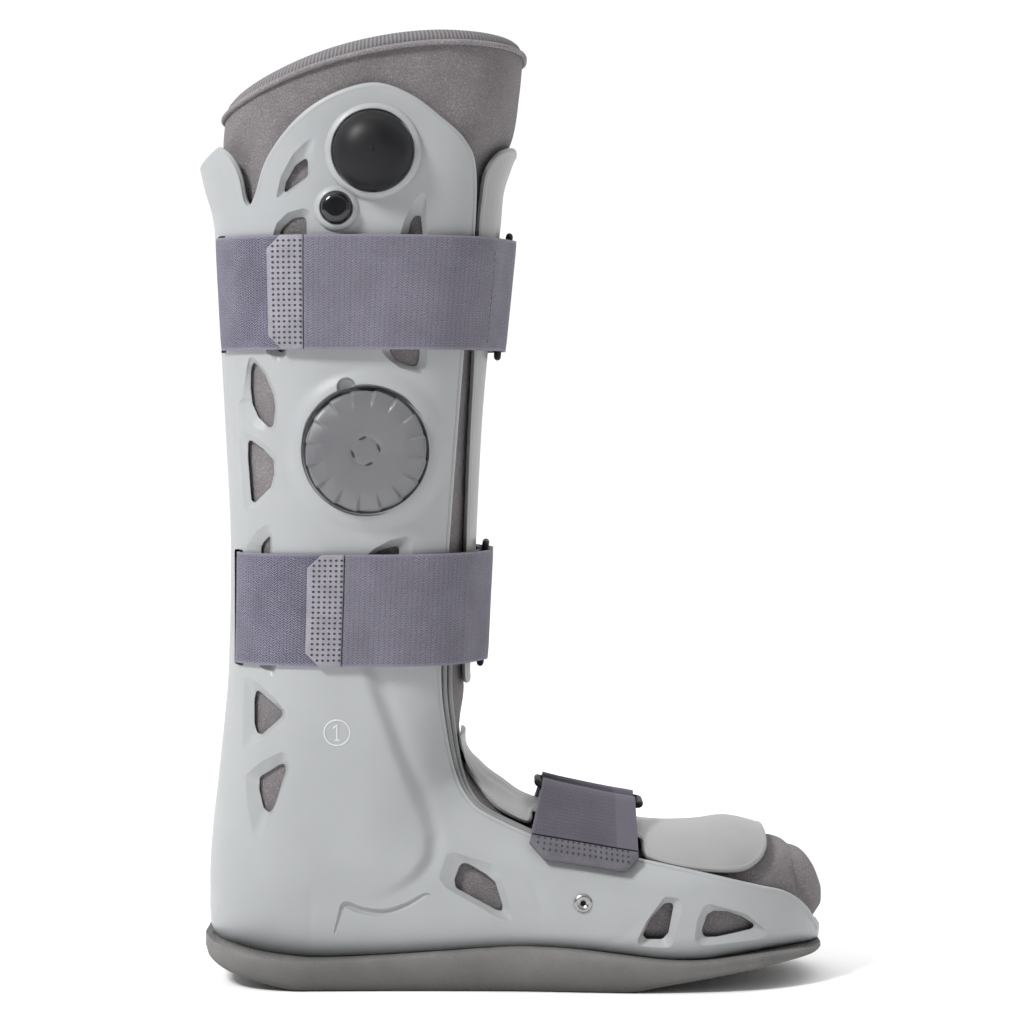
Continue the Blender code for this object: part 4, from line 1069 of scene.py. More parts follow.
def circledNumeral():
    # The ring and the plain numeral in it, as thin raised lines
    centreX, centreZ = sidePoint(markPlace)
    size, line, sunk = markSizes["radius"], markSizes["line"], markSizes["sunk"]

    def onShell(x, z):
        return (x, -(sideWidth(x, z) + float(shellRelief(x, z)) - sunk * line), z)

    sides, steps = markSizes["sides"], markSizes["steps"]
    ring = [onShell(centreX + size * math.cos(math.tau * step / sides),
                    centreZ + size * math.sin(math.tau * step / sides)) for step in range(sides)]
    parts = [tubeObject("mark", ring, line, markLook, 8, True)]
    for (ax, az), (bx, bz) in markSizes["strokes"]:
        points = [onShell(centreX + size * (ax + (bx - ax) * step / steps),
                          centreZ + size * (az + (bz - az) * step / steps))
                  for step in range(steps + 1)]
        parts.append(tubeObject("mark", points, line, markLook, 8))
    return parts


def ankleLips():
    # Two rounded strips that show inside the rim, from the lower strap to the foot strap, in shell
    # plastic darkened as painted shade
    parts = []
    first, last = lipSizes["corners"]
    edge = smoothLine(shellEdge[first:last], lipSizes["steps"])
    for ahead, out, radius in lipSizes["strips"]:
        for side in (-1.0, 1.0):
            points = []
            for index, (x, z) in enumerate(edge):
                before, after = edge[max(index - 1, 0)], edge[min(index + 1, len(edge) - 1)]
                dx, dz = after[0] - before[0], after[1] - before[1]
                size = math.hypot(dx, dz)
                share = index / (len(edge) - 1)
                step = ahead * (1 - lipSizes["taper"] * share)
                px, pz = x - dz / size * step, z + dx / size * step
                points.append((px, side * (sideWidth(px, pz) + out), pz))
            parts.append(tubeObject("lip", points, radius, shadedLipLook, 10))
    return parts


def rimBead(edge, radius, look, out):
    # A rounded bead along a cut edge, on both sides, in the middle of the wall
    beads = []
    for side in (-1.0, 1.0):
        points = []
        for x, z in edge:
            y = sideWidth(x, z, out)
            if y > beadSizes["leastWidth"]:
                points.append((x, side * y, z))
        beads.append(tubeObject("rim", points, radius, look, beadSizes["sides"]))
    return beads


def crossBead(place, ahead, radius, look, out):
    # The bead's run over the top of the foot or shin, between its two sides
    x, z = place
    widest = sideWidth(x, z, out)
    half = []
    for share in np.linspace(1, 0, beadSizes["crossSteps"]):
        low, high = 0.0, beadSizes["crossReach"]
        for _ in range(26):
            middle = (low + high) / 2
            if sideWidth(x + ahead[0] * middle, z + ahead[1] * middle, out) > widest * share:
                low = middle
            else:
                high = middle
        half.append((x + ahead[0] * low, widest * share, z + ahead[1] * low))
    points = [(px, -py, pz) for px, py, pz in half] + half[-2::-1]
    return tubeObject("rim", points, radius, look, beadSizes["sides"])


def shellBoss(place, radius, lip):
    # A round boss for a fitting, from inside the wall, with a softly rounded edge
    spot = sidePoint(place)
    side = sideWidth(*spot)
    top, sunk, spread = side + bossRise, shellSizes["fittingSunk"], shellSizes["fittingSpread"]
    levels = [(side / 2, radius + lip + spread), (side - sunk, radius + lip + spread)]
    for step in range(1, 9):
        angle = step / 8 * math.pi / 2
        levels.append((side - sunk + (top - side + sunk) * math.sin(angle),
                       radius + lip * 0.35 + (lip * 0.65 + spread) * math.cos(angle) ** 1.6))
    return turnedObject("tool", spot, levels, 96)


def sinkPocket(shell, place, levels, sides):
    # Levels hold how far out of the boss's top they are, and their radius
    spot = sidePoint(place)
    top = sideWidth(*spot) + bossRise
    levels = [(top + out, radius) for out, radius in levels]
    booleanChange(shell, turnedObject("tool", spot, levels, sides), "DIFFERENCE")


def dressMesh(made, look, sharpAngle):
    made.data.materials.clear()
    made.data.materials.append(look)
    made.data.shade_smooth()
    made.data.set_sharp_from_angle(angle=math.radians(sharpAngle))


def makeShell():
    shellRows = fineRows(rows, shellSizes["spacing"])
    outer = sectionGrid(shellRows, evenTurns(shellRows, shellSizes["around"]))
    shell = loftObject("rear_shell_look", displaceSide(outer, shellRelief), shellLook)
    for place, radius, _, lip in shellPockets:
        if lip:
            booleanChange(shell, shellBoss(place, radius, lip), "UNION")
    innerRows = fineRows(rows[:-1], shellSizes["innerSpacing"])
    # the hollow starts above the collar, so that it opens the top
    for column in (1, 3):
        innerRows[0][column] += shellSizes["innerAbove"]
    turns = evenTurns(innerRows, shellSizes["innerAround"], -shellWall)
    inner = sectionGrid(innerRows, turns, -shellWall)
    booleanChange(shell, loftObject("tool", inner), "DIFFERENCE")
    for place, radius, depth, _ in shellPockets:
        levels = [(-depth - 0.0002, radius), (-0.0005, radius), (0.0003, radius + 0.0006),
                  (0.006, radius + 0.0006)]
        sinkPocket(shell, place, levels, 120)
    # the pocket at the dial's edge that a finger or the dial's pointer sits in
    sinkPocket(shell, pocketPlace, shellSizes["fingerPocket"], 40)
    steps = 8
    radii = [shellSizes["creaseRadius"] * (0.25 + 0.75 * math.sin(math.pi * share) ** 0.7)
             for share in np.linspace(0, 1, (len(heelCrease) - 1) * steps + 1)]
    for near in (True, False):
        line = surfaceLine(heelCrease, steps, shellSizes["creaseOut"], near)
        booleanChange(shell, tubeObject("tool", line, radii, None, 10), "DIFFERENCE")
    edge, outline = edgeOutline(8)
    booleanChange(shell, prismObject("tool", outline), "INTERSECT")
    for hole, mouth in windows.values():
        for grid in windowCutter(hole, mouth):
            booleanChange(shell, loftObject("tool", grid), "DIFFERENCE")
    halfWidth, halfSlot = strapWidth / 2 + 2 * clearance, slotWidth / 2
    for height, slot in ((upperStrapHeight, upperSlot), (lowerStrapHeight, lowerSlot)):
        x, z = sidePoint((slot, height))
        box = [(x - halfSlot, z - halfWidth), (x + halfSlot, z - halfWidth),
               (x + halfSlot, z + halfWidth), (x - halfSlot, z + halfWidth)]
        slotTool = prismObject("tool", roundedOutline(box, shellSizes["slotCorner"]))
        booleanChange(shell, slotTool, "DIFFERENCE")
    for low, high in ((-footWidth, 0.0), (0.0, footWidth)):
        grid = np.array([circlePoints(sidePoint(rivetPlace), shellSizes["rivetHole"], y, 24)
                         for y in (low, high)])
        booleanChange(shell, loftObject("tool", grid), "DIFFERENCE")
    dressMesh(shell, shellLook, 32)
    beads = rimBead(edge[2:], shellSizes["rimRadius"], shellLook, -shellWall / 2)
    return joinObjects("rear_shell_look", [shell, *beads, *ankleLips(), *circledNumeral()])


panelSizes = {
    "spacing": 0.0025,
    "around": 144,
    "beadExtra": 0.0002,
    "channelDepth": 0.0010,
    "channelPitch": 0.0115,
    "channelReach": 0.030,
    "channelToe": (-0.012, 0.010),
    "channelTongue": (0.088, 0.102),
}


def makePanel(name, first, last, edge, beyond, channelDepth=0.0):
    used = fineRows(rows, panelSizes["spacing"], first, last)
    turns = evenTurns(used, panelSizes["around"])
    outer = sectionGrid(used, turns)
    # shallow channels along the instep, fading out towards the toe and the tongue
    y = outer[..., 1]
    depth = channelDepth * (0.5 + 0.5 * np.cos(math.tau * y / panelSizes["channelPitch"]))
    depth *= np.abs(y) < panelSizes["channelReach"]
    depth *= 1 - softStep(outer[..., 0], *panelSizes["channelToe"])
    depth *= 1 - softStep(outer[..., 2], *panelSizes["channelTongue"])
    for column in (0, 2):
        outer[..., column] -= 0.7 * depth
    inner = sectionGrid(used, evenTurns(used, panelSizes["around"]), -panelWall)[::-1]
    panel = loftObject(name, np.concatenate([outer, inner]), panelLook, 40, True)
    booleanChange(panel, prismObject("tool", smoothLine(edge, 8) + beyond), "INTERSECT")
    dressMesh(panel, panelLook, 35)
    return panel


def panelBeads(edge, end, ahead):
    radius, out = panelWall / 2 + panelSizes["beadExtra"], -panelWall / 2
    return [*rimBead(edge, radius, panelLook, out), crossBead(end, ahead, radius, panelLook, out)]


def makeShinPanel():
    top, low = sidePoint(shinEdge[0]), sidePoint(shinEdge[-1])
    beyond = [(0.05, low[1]), (0.05, top[1])]
    panel = makePanel("shin_panel_look", 0, len(legRows) + 1, shinEdge, beyond)
    beads = panelBeads(smoothLine(shinEdge, 8), top, (1.0, 0.0))
    return joinObjects("shin_panel_look", [panel, *beads])


def makeFootPanel():
    start, end = sidePoint(footEdge[0]), sidePoint(footEdge[-1])
    panel = makePanel("foot_panel_look", len(legRows), len(rows) - 4, footEdge,
                      [(end[0], start[1])], panelSizes["channelDepth"])
    # the tongue at the ankle is too narrow for a bead, so the bead starts below it
    beads = panelBeads(smoothLine(footEdge, 8)[16:], end, (0.0, 1.0))
    return joinObjects("foot_panel_look", [panel, *beads])


linerSizes = {
    "spacing": 0.0021,
    "insideSpacing": 0.008,
    "around": 160,
    "rimSteps": 8,
    "rimLift": 0.72,
    "mapLength": 2.9,
    "foldDepth": 0.0022,
    "foldWidth": 0.0017,
    "puffs": ((30.0, 0.0010), (75.0, 0.0004)),
    "puffFrom": 0.03,
}
pipingSizes = {
    "around": 220,
    "out": 0.0008,
    "radius": 0.0012,
}


def linerFollowed():
    tuckFrom = len(legRows) + linerTuckRow
    used = rows[linerSkippedLegRows:len(rows) - linerSkippedToeRows].copy()
    used[:, 7] = 0.0
    insets = []
    for index in range(linerSkippedLegRows, len(rows) - linerSkippedToeRows):
        tuck = min(max(index - tuckFrom, 0) / 2, 1.0) * (strapThickness + clearance)
        insets.append(shellWall + clearance + tuck)
    return used, np.array(insets)


def linerTop():
    made = []
    for *ends, width, crown in linerTopRows:
        row = list(footRow(*ends, 0.0, legBackSquare, legFrontSquare))
        row[4] = width * legWidth / 2
        row[8] = crown * bootHeight
        made.append(row)
    return np.array(made)


def makeLiner():
    used, insets = linerFollowed()
    shrunk = used.copy()
    # the inset goes into the rows themselves, so that they can be joined to the top and toe
    length = np.hypot(used[:, 0] - used[:, 2], used[:, 1] - used[:, 3])
    axisX = (used[:, 0] - used[:, 2]) / length
    axisZ = (used[:, 1] - used[:, 3]) / length
    for column, inward in ((0, -axisX), (1, -axisZ), (2, axisX), (3, axisZ), (4, -1.0)):
        shrunk[:, column] += inward * insets
    toe = np.array([footRow(*row, legBackSquare) for row in linerToeRows])
    path = np.concatenate([linerTop(), shrunk, toe])
    around, steps = linerSizes["around"], linerSizes["rimSteps"]
    fine = fineRows(path, linerSizes["spacing"])
    outer = linerFolds(sectionGrid(fine, evenTurns(fine, around)))
    rim = []
    for step in range(1, steps):
        angle = math.pi * step / steps
        row = fine[0].copy()
        for column in (1, 3):
            row[column] += linerSizes["rimLift"] * linerWall * math.sin(angle)
        inward = linerWall * (1 - math.cos(angle)) / 2
        rim.append(sectionGrid(row, evenTurns(row, around), -inward)[0])
    # the hollow ends before the last toe rows, so that the toe is closed
    insideRows = fineRows(path[:-6], linerSizes["insideSpacing"])
    inside = sectionGrid(insideRows, evenTurns(insideRows, around, -linerWall), -linerWall)
    grid = np.concatenate([outer[::-1], np.array(rim), inside])
    levels, count = grid.shape[:2]
    # the map runs round the liner in metres, so that the rim's ribs keep their pitch
    length = linerSizes["mapLength"] * legWidth
    uv = [(index % count / count * length, index // count * 0.002)
          for index in range(levels * count)]
    faces = gridFaces(levels, count)
    faces += [tuple(range(count)), tuple(range((levels - 1) * count, levels * count))]
    liner = meshObject("liner_look", grid.reshape(-1, 3), faces, liningLook, 0, uv)
    liner.data.materials.append(ribbedLook)
    for face in liner.data.polygons:
        level = min(face.vertices) // count
        if len(outer) - 1 <= level < len(outer) + 4 and len(face.vertices) == 4:
            face.material_index = 1
    return liner


def linerFolds(grid):
    # Soft unevenness of the padding, and the fold down the side of the toe
    shape = grid.shape
    flat = grid.reshape(-1, 3)
    away, _, along = lineDistance(flat[:, 0], flat[:, 2], linerFold)
    creased = linerSizes["foldDepth"] * np.exp(-((away / linerSizes["foldWidth"]) ** 2))
    creased *= 0.4 + 0.6 * np.sin(math.pi * along)
    for index, point in enumerate(flat):
        puff = sum(noise.noise(Vector(point) * scale) * depth
                   for scale, depth in linerSizes["puffs"])
        side = math.copysign(min(abs(point[1]) / linerSizes["puffFrom"], 1.0), point[1])
        flat[index, 1] += puff * side
        flat[index] -= creased[index] * np.array([0.6, 0.6 * side, 0.5])
    return flat.reshape(shape)


def makePiping():
    row = linerTop()[0]
    turns = evenTurns(row, pipingSizes["around"])[0]
    points = sectionGrid(row, turns, pipingSizes["out"])[0]
    return tubeObject("liner_piping_look", points, pipingSizes["radius"], pipingLook, 10, True)


soleSizes = {
    "spacing": 0.0030,
    "seatGap": 0.0002,
    "topEdge": 0.0014,
    "sideHollow": 0.0004,
    # half the width of a groove at the ground and at its bottom, and its depth
    "tread": (0.0013, 0.0009, 0.0018),
    "treadCount": 17,
    "treadStart": -0.330,
    "treadStep": 0.033,
    "treadReach": 0.36,
}


def makeSole():
    table = np.array(soleRows)
    fine = []
    for index in range(len(table) - 1):
        reach = abs(table[index + 1][0] - table[index][0]) * bootLength
        steps = max(1, math.ceil(reach / soleSizes["spacing"]))
        before, after = table[max(index - 1, 0)], table[min(index + 2, len(table) - 1)]
        fine += [smoothValues(before, table[index], table[index + 1], after, step / steps)
                 for step in range(steps)]
    fine.append(table[-1])
    grid = [soleSection(*row) for row in fine]
    sole = loftObject("outsole_look", np.array(grid), soleLook)
    seatRows = fineRows(rows, soleSizes["spacing"], len(legRows))
    gap = soleSizes["seatGap"]
    seat = sectionGrid(seatRows, evenTurns(seatRows, 128, gap), gap)
    booleanChange(sole, loftObject("tool", seat), "DIFFERENCE")
    # tread grooves across the flat of the underside, short of its edges
    half = soleSizes["treadReach"] * footWidth
    wide, narrow, deep = soleSizes["tread"]
    for step in range(soleSizes["treadCount"]):
        x = (soleSizes["treadStart"] + step * soleSizes["treadStep"]) * bootLength
        outline = [(x - wide, -0.002), (x + wide, -0.002), (x + narrow, deep), (x - narrow, deep)]
        booleanChange(sole, prismObject("tool", outline, -half, half), "DIFFERENCE")
    dressMesh(sole, soleLook, 40)
    return sole


def soleSection(along, line, under, width):
    x, top, low = along * bootLength, line * bootHeight, max(under, 0.0) * bootHeight
    half = width * footWidth / 2 + soleLip
    foot = half - min(soleTaper, half / 2)
    bevel = low + (top - low) * 0.25
    edge = soleSizes["topEdge"]
    near = [(-foot / 2, top), (-half + 0.0012, top), (-half + 0.0003, top - 0.0005),
            (-half, top - edge)]
    for step in range(1, 5):
        share = step / 4
        near.append((-half + soleSizes["sideHollow"] * math.sin(math.pi * share),
                     top - edge + (bevel - top + edge) * share))
    for step in range(1, 6):
        angle = step / 5 * math.pi / 2
        near.append((-half + (half - foot) * (1 - math.cos(angle)),
                     bevel + (low - bevel) * math.sin(angle)))
    near.append((-foot / 2, low))
    return [(x, y, z) for y, z in near + [(-y, z) for y, z in reversed(near)]]


strapSizes = {
    "levels": 11,
    "edgeThickness": (0.35, 0.8),
    # rows of stitches, measured along the strap from the front
    "stitches": (0.0415,),
    "stitchFrom": 0.003,
    "stitchSpacing": 0.0028,
    "stitchLength": 0.0018,
    "stitchLift": 0.00025,
    "stitchRadius": 0.00026,
}
tabSizes = {
    "across": 13,
    "spacing": 0.002,
    "edgeDrop": 0.0004,
    "edgeInset": 0.0006,
    "dotPitch": 0.00235,
    "dotLift": 0.00008,
    "dotRadii": (0.00068, 0.00055),
}
ringSizes = {
    "corner": 0.0040,
    "cornerSteps": 6,
    "barSteps": 12,
}


def arcLine(row):
    turns = 0.5 * (np.arange(401) / 400) ** 1.5
    points = sectionGrid(row, turns)[0]
    steps = np.linalg.norm(np.diff(points, axis=0), axis=1)
    return np.concatenate([[0.0], np.cumsum(steps)]), turns


def turnAt(line, distance):
    return float(np.sign(distance) * np.interp(abs(distance), line[0], line[1]))


def distanceWhere(row, line, column, limit):
    points = sectionGrid(row, line[1])[0]
    passed = np.nonzero(points[:, column] <= limit)[0]
    return float(line[0][passed[0]]) if len(passed) else float(line[0][-1])


def onSurface(row, turn, out, far=False):
    side = 1.0 if far else -1.0
    nudge = 1e-4
    points = sectionGrid(row, [side * turn, side * (turn + nudge), side * (turn - nudge)])[0]
    point, after, before = (Vector(one) for one in points)
    along = after - before
    front = Vector((row[0], 0.0, row[1]))
    back = Vector((row[2] - row[7], 0.0, row[3]))
    normal = along.cross((front - back).cross(upY)).normalized()
    if normal.dot(point - (front + back) / 2) < 0:
        normal = -normal
    return point + normal * out


def legLevels(low, high, count):
    levels = []
    for z in np.linspace(low, high, count):
        levels.append(rowAt(rows, placeWhere(rows, 1, z, 0, len(legRows))))
    return levels


def footLevels(low, high, count):
    first = len(legRows) + firstUprightRow
    return [rowAt(rows, placeWhere(rows, 0, x, first, len(rows) - 2))
            for x in np.linspace(low, high, count)]


def evenly(low, high, spacing=0.0022):
    return list(np.linspace(low, high, max(2, math.ceil(abs(high - low) / spacing) + 1)))


def strapPath(start, inside, end, lift=0.0):
    turnRound = barAt - ringBar / 2
    path = list(inside)
    path += [(distance, underOut) for distance in evenly(start, barAt + ringBar)]
    centre = ringOut + lift
    for step in range(13):
        angle = math.pi * step / 12
        path.append((turnRound - foldRadius * math.sin(angle),
                     centre - foldRadius * math.cos(angle)))
    crest = centre + foldRadius
    for distance in evenly(barAt + ringBar, end):
        ease = max(0.0, 1 - (distance - barAt - ringBar) / ringSpan) ** 2
        path.append((distance, overOut + (crest - overOut) * ease))
    return path


def smoothPath(path):
    # Rounds the path's corners a little, as webbing bends
    points = np.array(path)
    for _ in range(3):
        points[1:-1] = (points[:-2] + 2 * points[1:-1] + points[2:]) / 4
    return [tuple(point) for point in points]


def ribbonObject(name, path, levels, looks, far=False):
    # A band of webbing with rounded edges, whose map runs along and across it in metres.
    # The first look is on the layer under the fold, the second on the layer that comes back.
    path = smoothPath(path)
    line = arcLine(levels[len(levels) // 2])
    count = len(path)
    travel = [0.0]
    for before, after in zip(path, path[1:]):
        travel.append(travel[-1] + math.hypot(after[0] - before[0], after[1] - before[1]))
    half = strapThickness / 2
    grid, maps = [], []
    edges = len(levels) - 1
    width = (onSurface(levels[0], turnAt(line, path[0][0]), 0)
             - onSurface(levels[-1], turnAt(line, path[0][0]), 0)).length
    # which level each section stands at, and its share of the full thickness
    thin, thicker = strapSizes["edgeThickness"]
    sections = [(0, thin), (0, thicker)] + [(level, 1.0) for level in range(1, edges)]
    sections += [(edges, thicker), (edges, thin)]
    for level, thick in sections:
        row = levels[level]
        inner, outer = [], []
        for index, (distance, out) in enumerate(path):
            before = path[max(index - 1, 0)]
            after = path[min(index + 1, count - 1)]
            along = Vector((after[0] - before[0], after[1] - before[1])).normalized()
            shift = Vector((-along.y, along.x)) * (half * thick)
            inner.append((distance + shift.x, out + shift.y))
            outer.append((distance - shift.x, out - shift.y))
        loop = inner + outer[::-1]
        ring = [onSurface(row, turnAt(line, distance), out, far) for distance, out in loop]
        grid.append([tuple(point) for point in ring])
        across = level / edges * width
        maps += [(along, across) for along in travel + travel[::-1]]
    grid = np.array(grid)
    levelsCount, ringCount = grid.shape[:2]
    faces = gridFaces(levelsCount, ringCount)
    for first in (0, (levelsCount - 1) * ringCount):
        for step in range(count - 1):
            low, high = first + step, first + ringCount - 1 - step
            faces.append((low, low + 1, high - 1, high))
    band = meshObject(name, grid.reshape(-1, 3), faces, looks[0], 50, maps)
    band.data.materials.append(looks[1])
    fold = int(np.argmin([distance for distance, _ in path]))
    for face in band.data.polygons:
        steps = [min(corner % ringCount, ringCount - 1 - corner % ringCount)
                 for corner in face.vertices]
        if min(steps) >= fold:
            face.material_index = 1
    return band


def legStrap(name, height, slot, tabEnd=None):
    low = height * bootHeight - strapWidth / 2
    levels = legLevels(low, low + strapWidth, strapSizes["levels"])
    row = levels[len(levels) // 2]
    line = arcLine(row)
    start = distanceWhere(row, line, 0, slot * bootLength - slotWidth / 4)
    turnedIn = [(start, -shellWall / 2), (start - strapThickness, underOut - clearance / 2)]
    end = barAt + farTabReach
    tabs = None
    if tabEnd is not None:
        outerEnd = distanceWhere(row, line, 0, tabEnd * bootLength)
        end = outerEnd - tabLength
        tabs = (levels, line, end, outerEnd)
    path = strapPath(start - 3 * strapThickness, turnedIn, end)
    far = tabEnd is None
    band = ribbonObject(name, path, levels, (loopLook, strapLook), far)
    out = overOut + strapThickness / 2 - 0.0001
    parts = [band]
    for distance in strapSizes["stitches"]:
        parts += stitchLine(levels, line, distance, out, far)
    return joinObjects(name, parts), tabs


def surfaceOn(levels, line, share, distance, out, far=False):
    # A point on a band: share 0 is its lower or heel edge and 1 the other
    place = share * (len(levels) - 1)
    index = min(int(place), len(levels) - 2)
    turn = turnAt(line, distance)
    low = onSurface(levels[index], turn, out, far)
    high = onSurface(levels[index + 1], turn, out, far)
    return low.lerp(high, place - index)


def hookTab(name, tabs, width, look):
    # The hook patch: a thin plate with two cut corners, a pressed edge and a grid of dots
    levels, line, start, end = tabs
    chamfer = tabChamfer / width
    columns = [(distance, 0.0) for distance in
               evenly(start + clearance, end - tabChamfer, tabSizes["spacing"])]
    columns.append((end, chamfer))
    count = tabSizes["across"]
    low, high = overOut - strapThickness / 2, overOut + strapThickness / 2
    grid = []
    for inset, out in ((0.0, low), (0.0, high - tabSizes["edgeDrop"]), (0.012, high)):
        for distance, cut in columns:
            shift = min(inset * width, tabSizes["edgeInset"])
            clipped = min(max(distance, start + clearance + shift), end - shift)
            cut += shift / width
            grid.append([tuple(surfaceOn(levels, line, cut + (1 - 2 * cut) * step / (count - 1),
                                         clipped, out)) for step in range(count)])
    sheet = len(columns) * count
    points = [point for ring in grid for point in ring]
    faces = []
    for layer in (0, 2):
        faces += [tuple(layer * sheet + index for index in face)
                  for face in gridFaces(len(columns), count, False)]
    border = ([(0, step) for step in range(count)]
              + [(column, count - 1) for column in range(1, len(columns))]
              + [(len(columns) - 1, step) for step in range(count - 2, -1, -1)]
              + [(column, 0) for column in range(len(columns) - 2, 0, -1)])
    loop = [column * count + step for column, step in border]
    for layer in (0, 1):
        for first, second in zip(loop, loop[1:] + loop[:1]):
            faces.append((layer * sheet + first, layer * sheet + second,
                          (layer + 1) * sheet + second, (layer + 1) * sheet + first))
    uv = [(index // count % len(columns) * 0.002, index % count / (count - 1) * width)
          for index in range(len(points))]
    plate = meshObject(name, points, faces, look, 35, uv)
    return joinObjects(name, [plate, *dotGrid(levels, line, start, end, width, high)])


def dotGrid(levels, line, start, end, width, out):
    # Rows of small sunk dots in the tab's face, each a dark shallow disc of painted shade
    pitch, above = tabSizes["dotPitch"], out + tabSizes["dotLift"]
    radiusAlong, radiusAcross = tabSizes["dotRadii"]
    across = int((width - 0.003) / pitch)
    deep = int((end - start - 0.0010) / pitch)
    points, faces = [], []
    for i in range(deep):
        for j in range(across):
            distance = start + 0.0014 + i * pitch
            share = (0.0028 + j * pitch) / width
            room = (end - distance) / tabChamfer
            if room < 1 and min(share, 1 - share) * width < (1 - room) * tabChamfer + 0.0012:
                continue
            centre = surfaceOn(levels, line, share, distance, above)
            beside = surfaceOn(levels, line, share, distance + 0.0005, above)
            over = surfaceOn(levels, line, share + 0.01, distance, above)
            sideways, upward = (beside - centre).normalized(), (over - centre).normalized()
            first = len(points)
            for step in range(8):
                angle = math.tau * step / 8
                points.append(tuple(centre + sideways * (radiusAlong * math.cos(angle))
                                    + upward * (radiusAcross * math.sin(angle))))
            faces.append(tuple(range(first, first + 8)))
    return [meshObject("dots", points, faces, paintedShadeLook, 0, [(x, z) for x, _, z in points])]


def stitchLine(levels, line, distance, out, far=False):
    # A row of stitches across a strap, each a short thread that dips at its ends
    spacing, length = strapSizes["stitchSpacing"], strapSizes["stitchLength"]
    parts = []
    width = (surfaceOn(levels, line, 0, distance, out, far)
             - surfaceOn(levels, line, 1, distance, out, far)).length
    for step in range(int((width - 2 * strapSizes["stitchFrom"]) / spacing)):
        share = (strapSizes["stitchFrom"] + step * spacing) / width
        points = []
        for index in range(5):
            part = index / 4
            lift = strapSizes["stitchLift"] * math.sin(math.pi * part)
            points.append(surfaceOn(levels, line, share + part * length / width, distance,
                                    out + lift, far))
        parts.append(tubeObject("stitch", points, strapSizes["stitchRadius"], threadLook, 5))
    return parts


def ringObject(name, levels, lift):
    # The loop ring: a round-edged bar bent to the surface, wound round its opening
    line = arcLine(levels[len(levels) // 2])
    half, out, corner = ringSpan / 2, ringOut + lift, ringSizes["corner"]
    width = (surfaceOn(levels, line, 0, 0, out) - surfaceOn(levels, line, 1, 0, out)).length
    low, high = ringBar / 2 / width, 1 - ringBar / 2 / width
    rise = corner / width
    path = []
    # each corner's centre, and where the straight bar after it ends
    corners = (
        ((half - corner, high - rise), (-half + corner, high)),
        ((-half + corner, high - rise), (-half, low + rise)),
        ((-half + corner, low + rise), (half - corner, low)),
        ((half - corner, low + rise), (half, high - rise)),
    )
    steps, straight = ringSizes["cornerSteps"], ringSizes["barSteps"]
    for first, ((cx, cz), following) in enumerate(corners):
        for step in range(steps + 1):
            angle = (first + step / steps) * math.pi / 2
            path.append((cx + corner * math.cos(angle), cz + rise * math.sin(angle)))
        here = path[-1]
        for step in range(1, straight):
            share = step / straight
            path.append((here[0] + (following[0] - here[0]) * share,
                         here[1] + (following[1] - here[1]) * share))
    points = [surfaceOn(levels, line, share, abs(distance), out, distance >= 0)
              for distance, share in path]
    return tubeObject(name, points, ringBar / 2, blackLook, 12, True)


def heightOn(edge, x):
    line = [sidePoint(place) for place in edge]
    for (x0, z0), (x1, z1) in zip(line, line[1:]):
        if x0 <= x <= x1 and z0 < 0.25 * bootHeight:
            return z0 + (z1 - z0) * (x - x0) / (x1 - x0)
    return line[-1][1]


def makeFootStraps():
    low = footStrapStart * bootLength
    levels = footLevels(low, low + footStrapWidth, strapSizes["levels"])
    row = levels[strapSizes["levels"] // 2]
    line = arcLine(row)
    rim = distanceWhere(row, line, 2, heightOn(shellEdge, row[0]))
    edge = distanceWhere(row, line, 2, heightOn(footEdge, row[0]))
    bottom = distanceWhere(row, line, 2, rivetPlace[1] * bootHeight)
    tucked = -shellWall - clearance - strapThickness / 2
    leave, arrive = rim - 3.5 * strapThickness, edge + 2 * strapThickness
    inside = [(distance, tucked) for distance in evenly(bottom, leave)]
    for distance in evenly(leave, arrive)[1:]:
        share = (distance - arrive) / (leave - arrive)
        inside.append((distance, underOut + (tucked - underOut) * share))
    made = []
    for name, reach, far in (("foot_strap_look", footTabReach, False),
                             ("foot_strap_far_look", farTabReach, True)):
        path = strapPath(edge - 2 * strapThickness, inside, barAt + reach, footRingLift)
        made.append(ribbonObject(name, path, levels, (loopLook, footBandLook), far))
    start = barAt + footTabReach
    tab = hookTab("foot_hook_tab_look", (levels, line, start, start + footTabLength),
                  footStrapWidth, footHookLook)
    length = footStrapWidth + 2 * ringMargin
    ringLow = low - ringMargin
    ringLevels = footLevels(ringLow, ringLow + length, strapSizes["levels"])
    return made, tab, ringObject("foot_ring_look", ringLevels, footRingLift)


bulbSizes = {
    "rise": 0.0130,
    "edge": 0.0006,
    "foot": 0.0012,
    "steps": 26,
    "sides": 72,
}
buttonSizes = {
    "rise": 0.0050,
    "dome": 0.0022,
    "flat": 0.55,
    "steps": 10,
    "sides": 56,
}
dialSizes = {
    "sides": 480,
    "height": 0.0070,
    "blades": 16,
    "slowShare": 0.88,
    "bladeRise": 0.00130,
    "bladeSink": 0.00085,
    "bladeShares": (0.66, 0.90),
    "rimShares": (0.97, 1.0),
    "notch": 0.00045,
    "paintedShadeLevels": 5,
    "slotAt": 0.0058,
    "slotSunk": 0.0003,
    "slotLean": 8,
    "slotAngles": (14, 104, 194, 284),
}
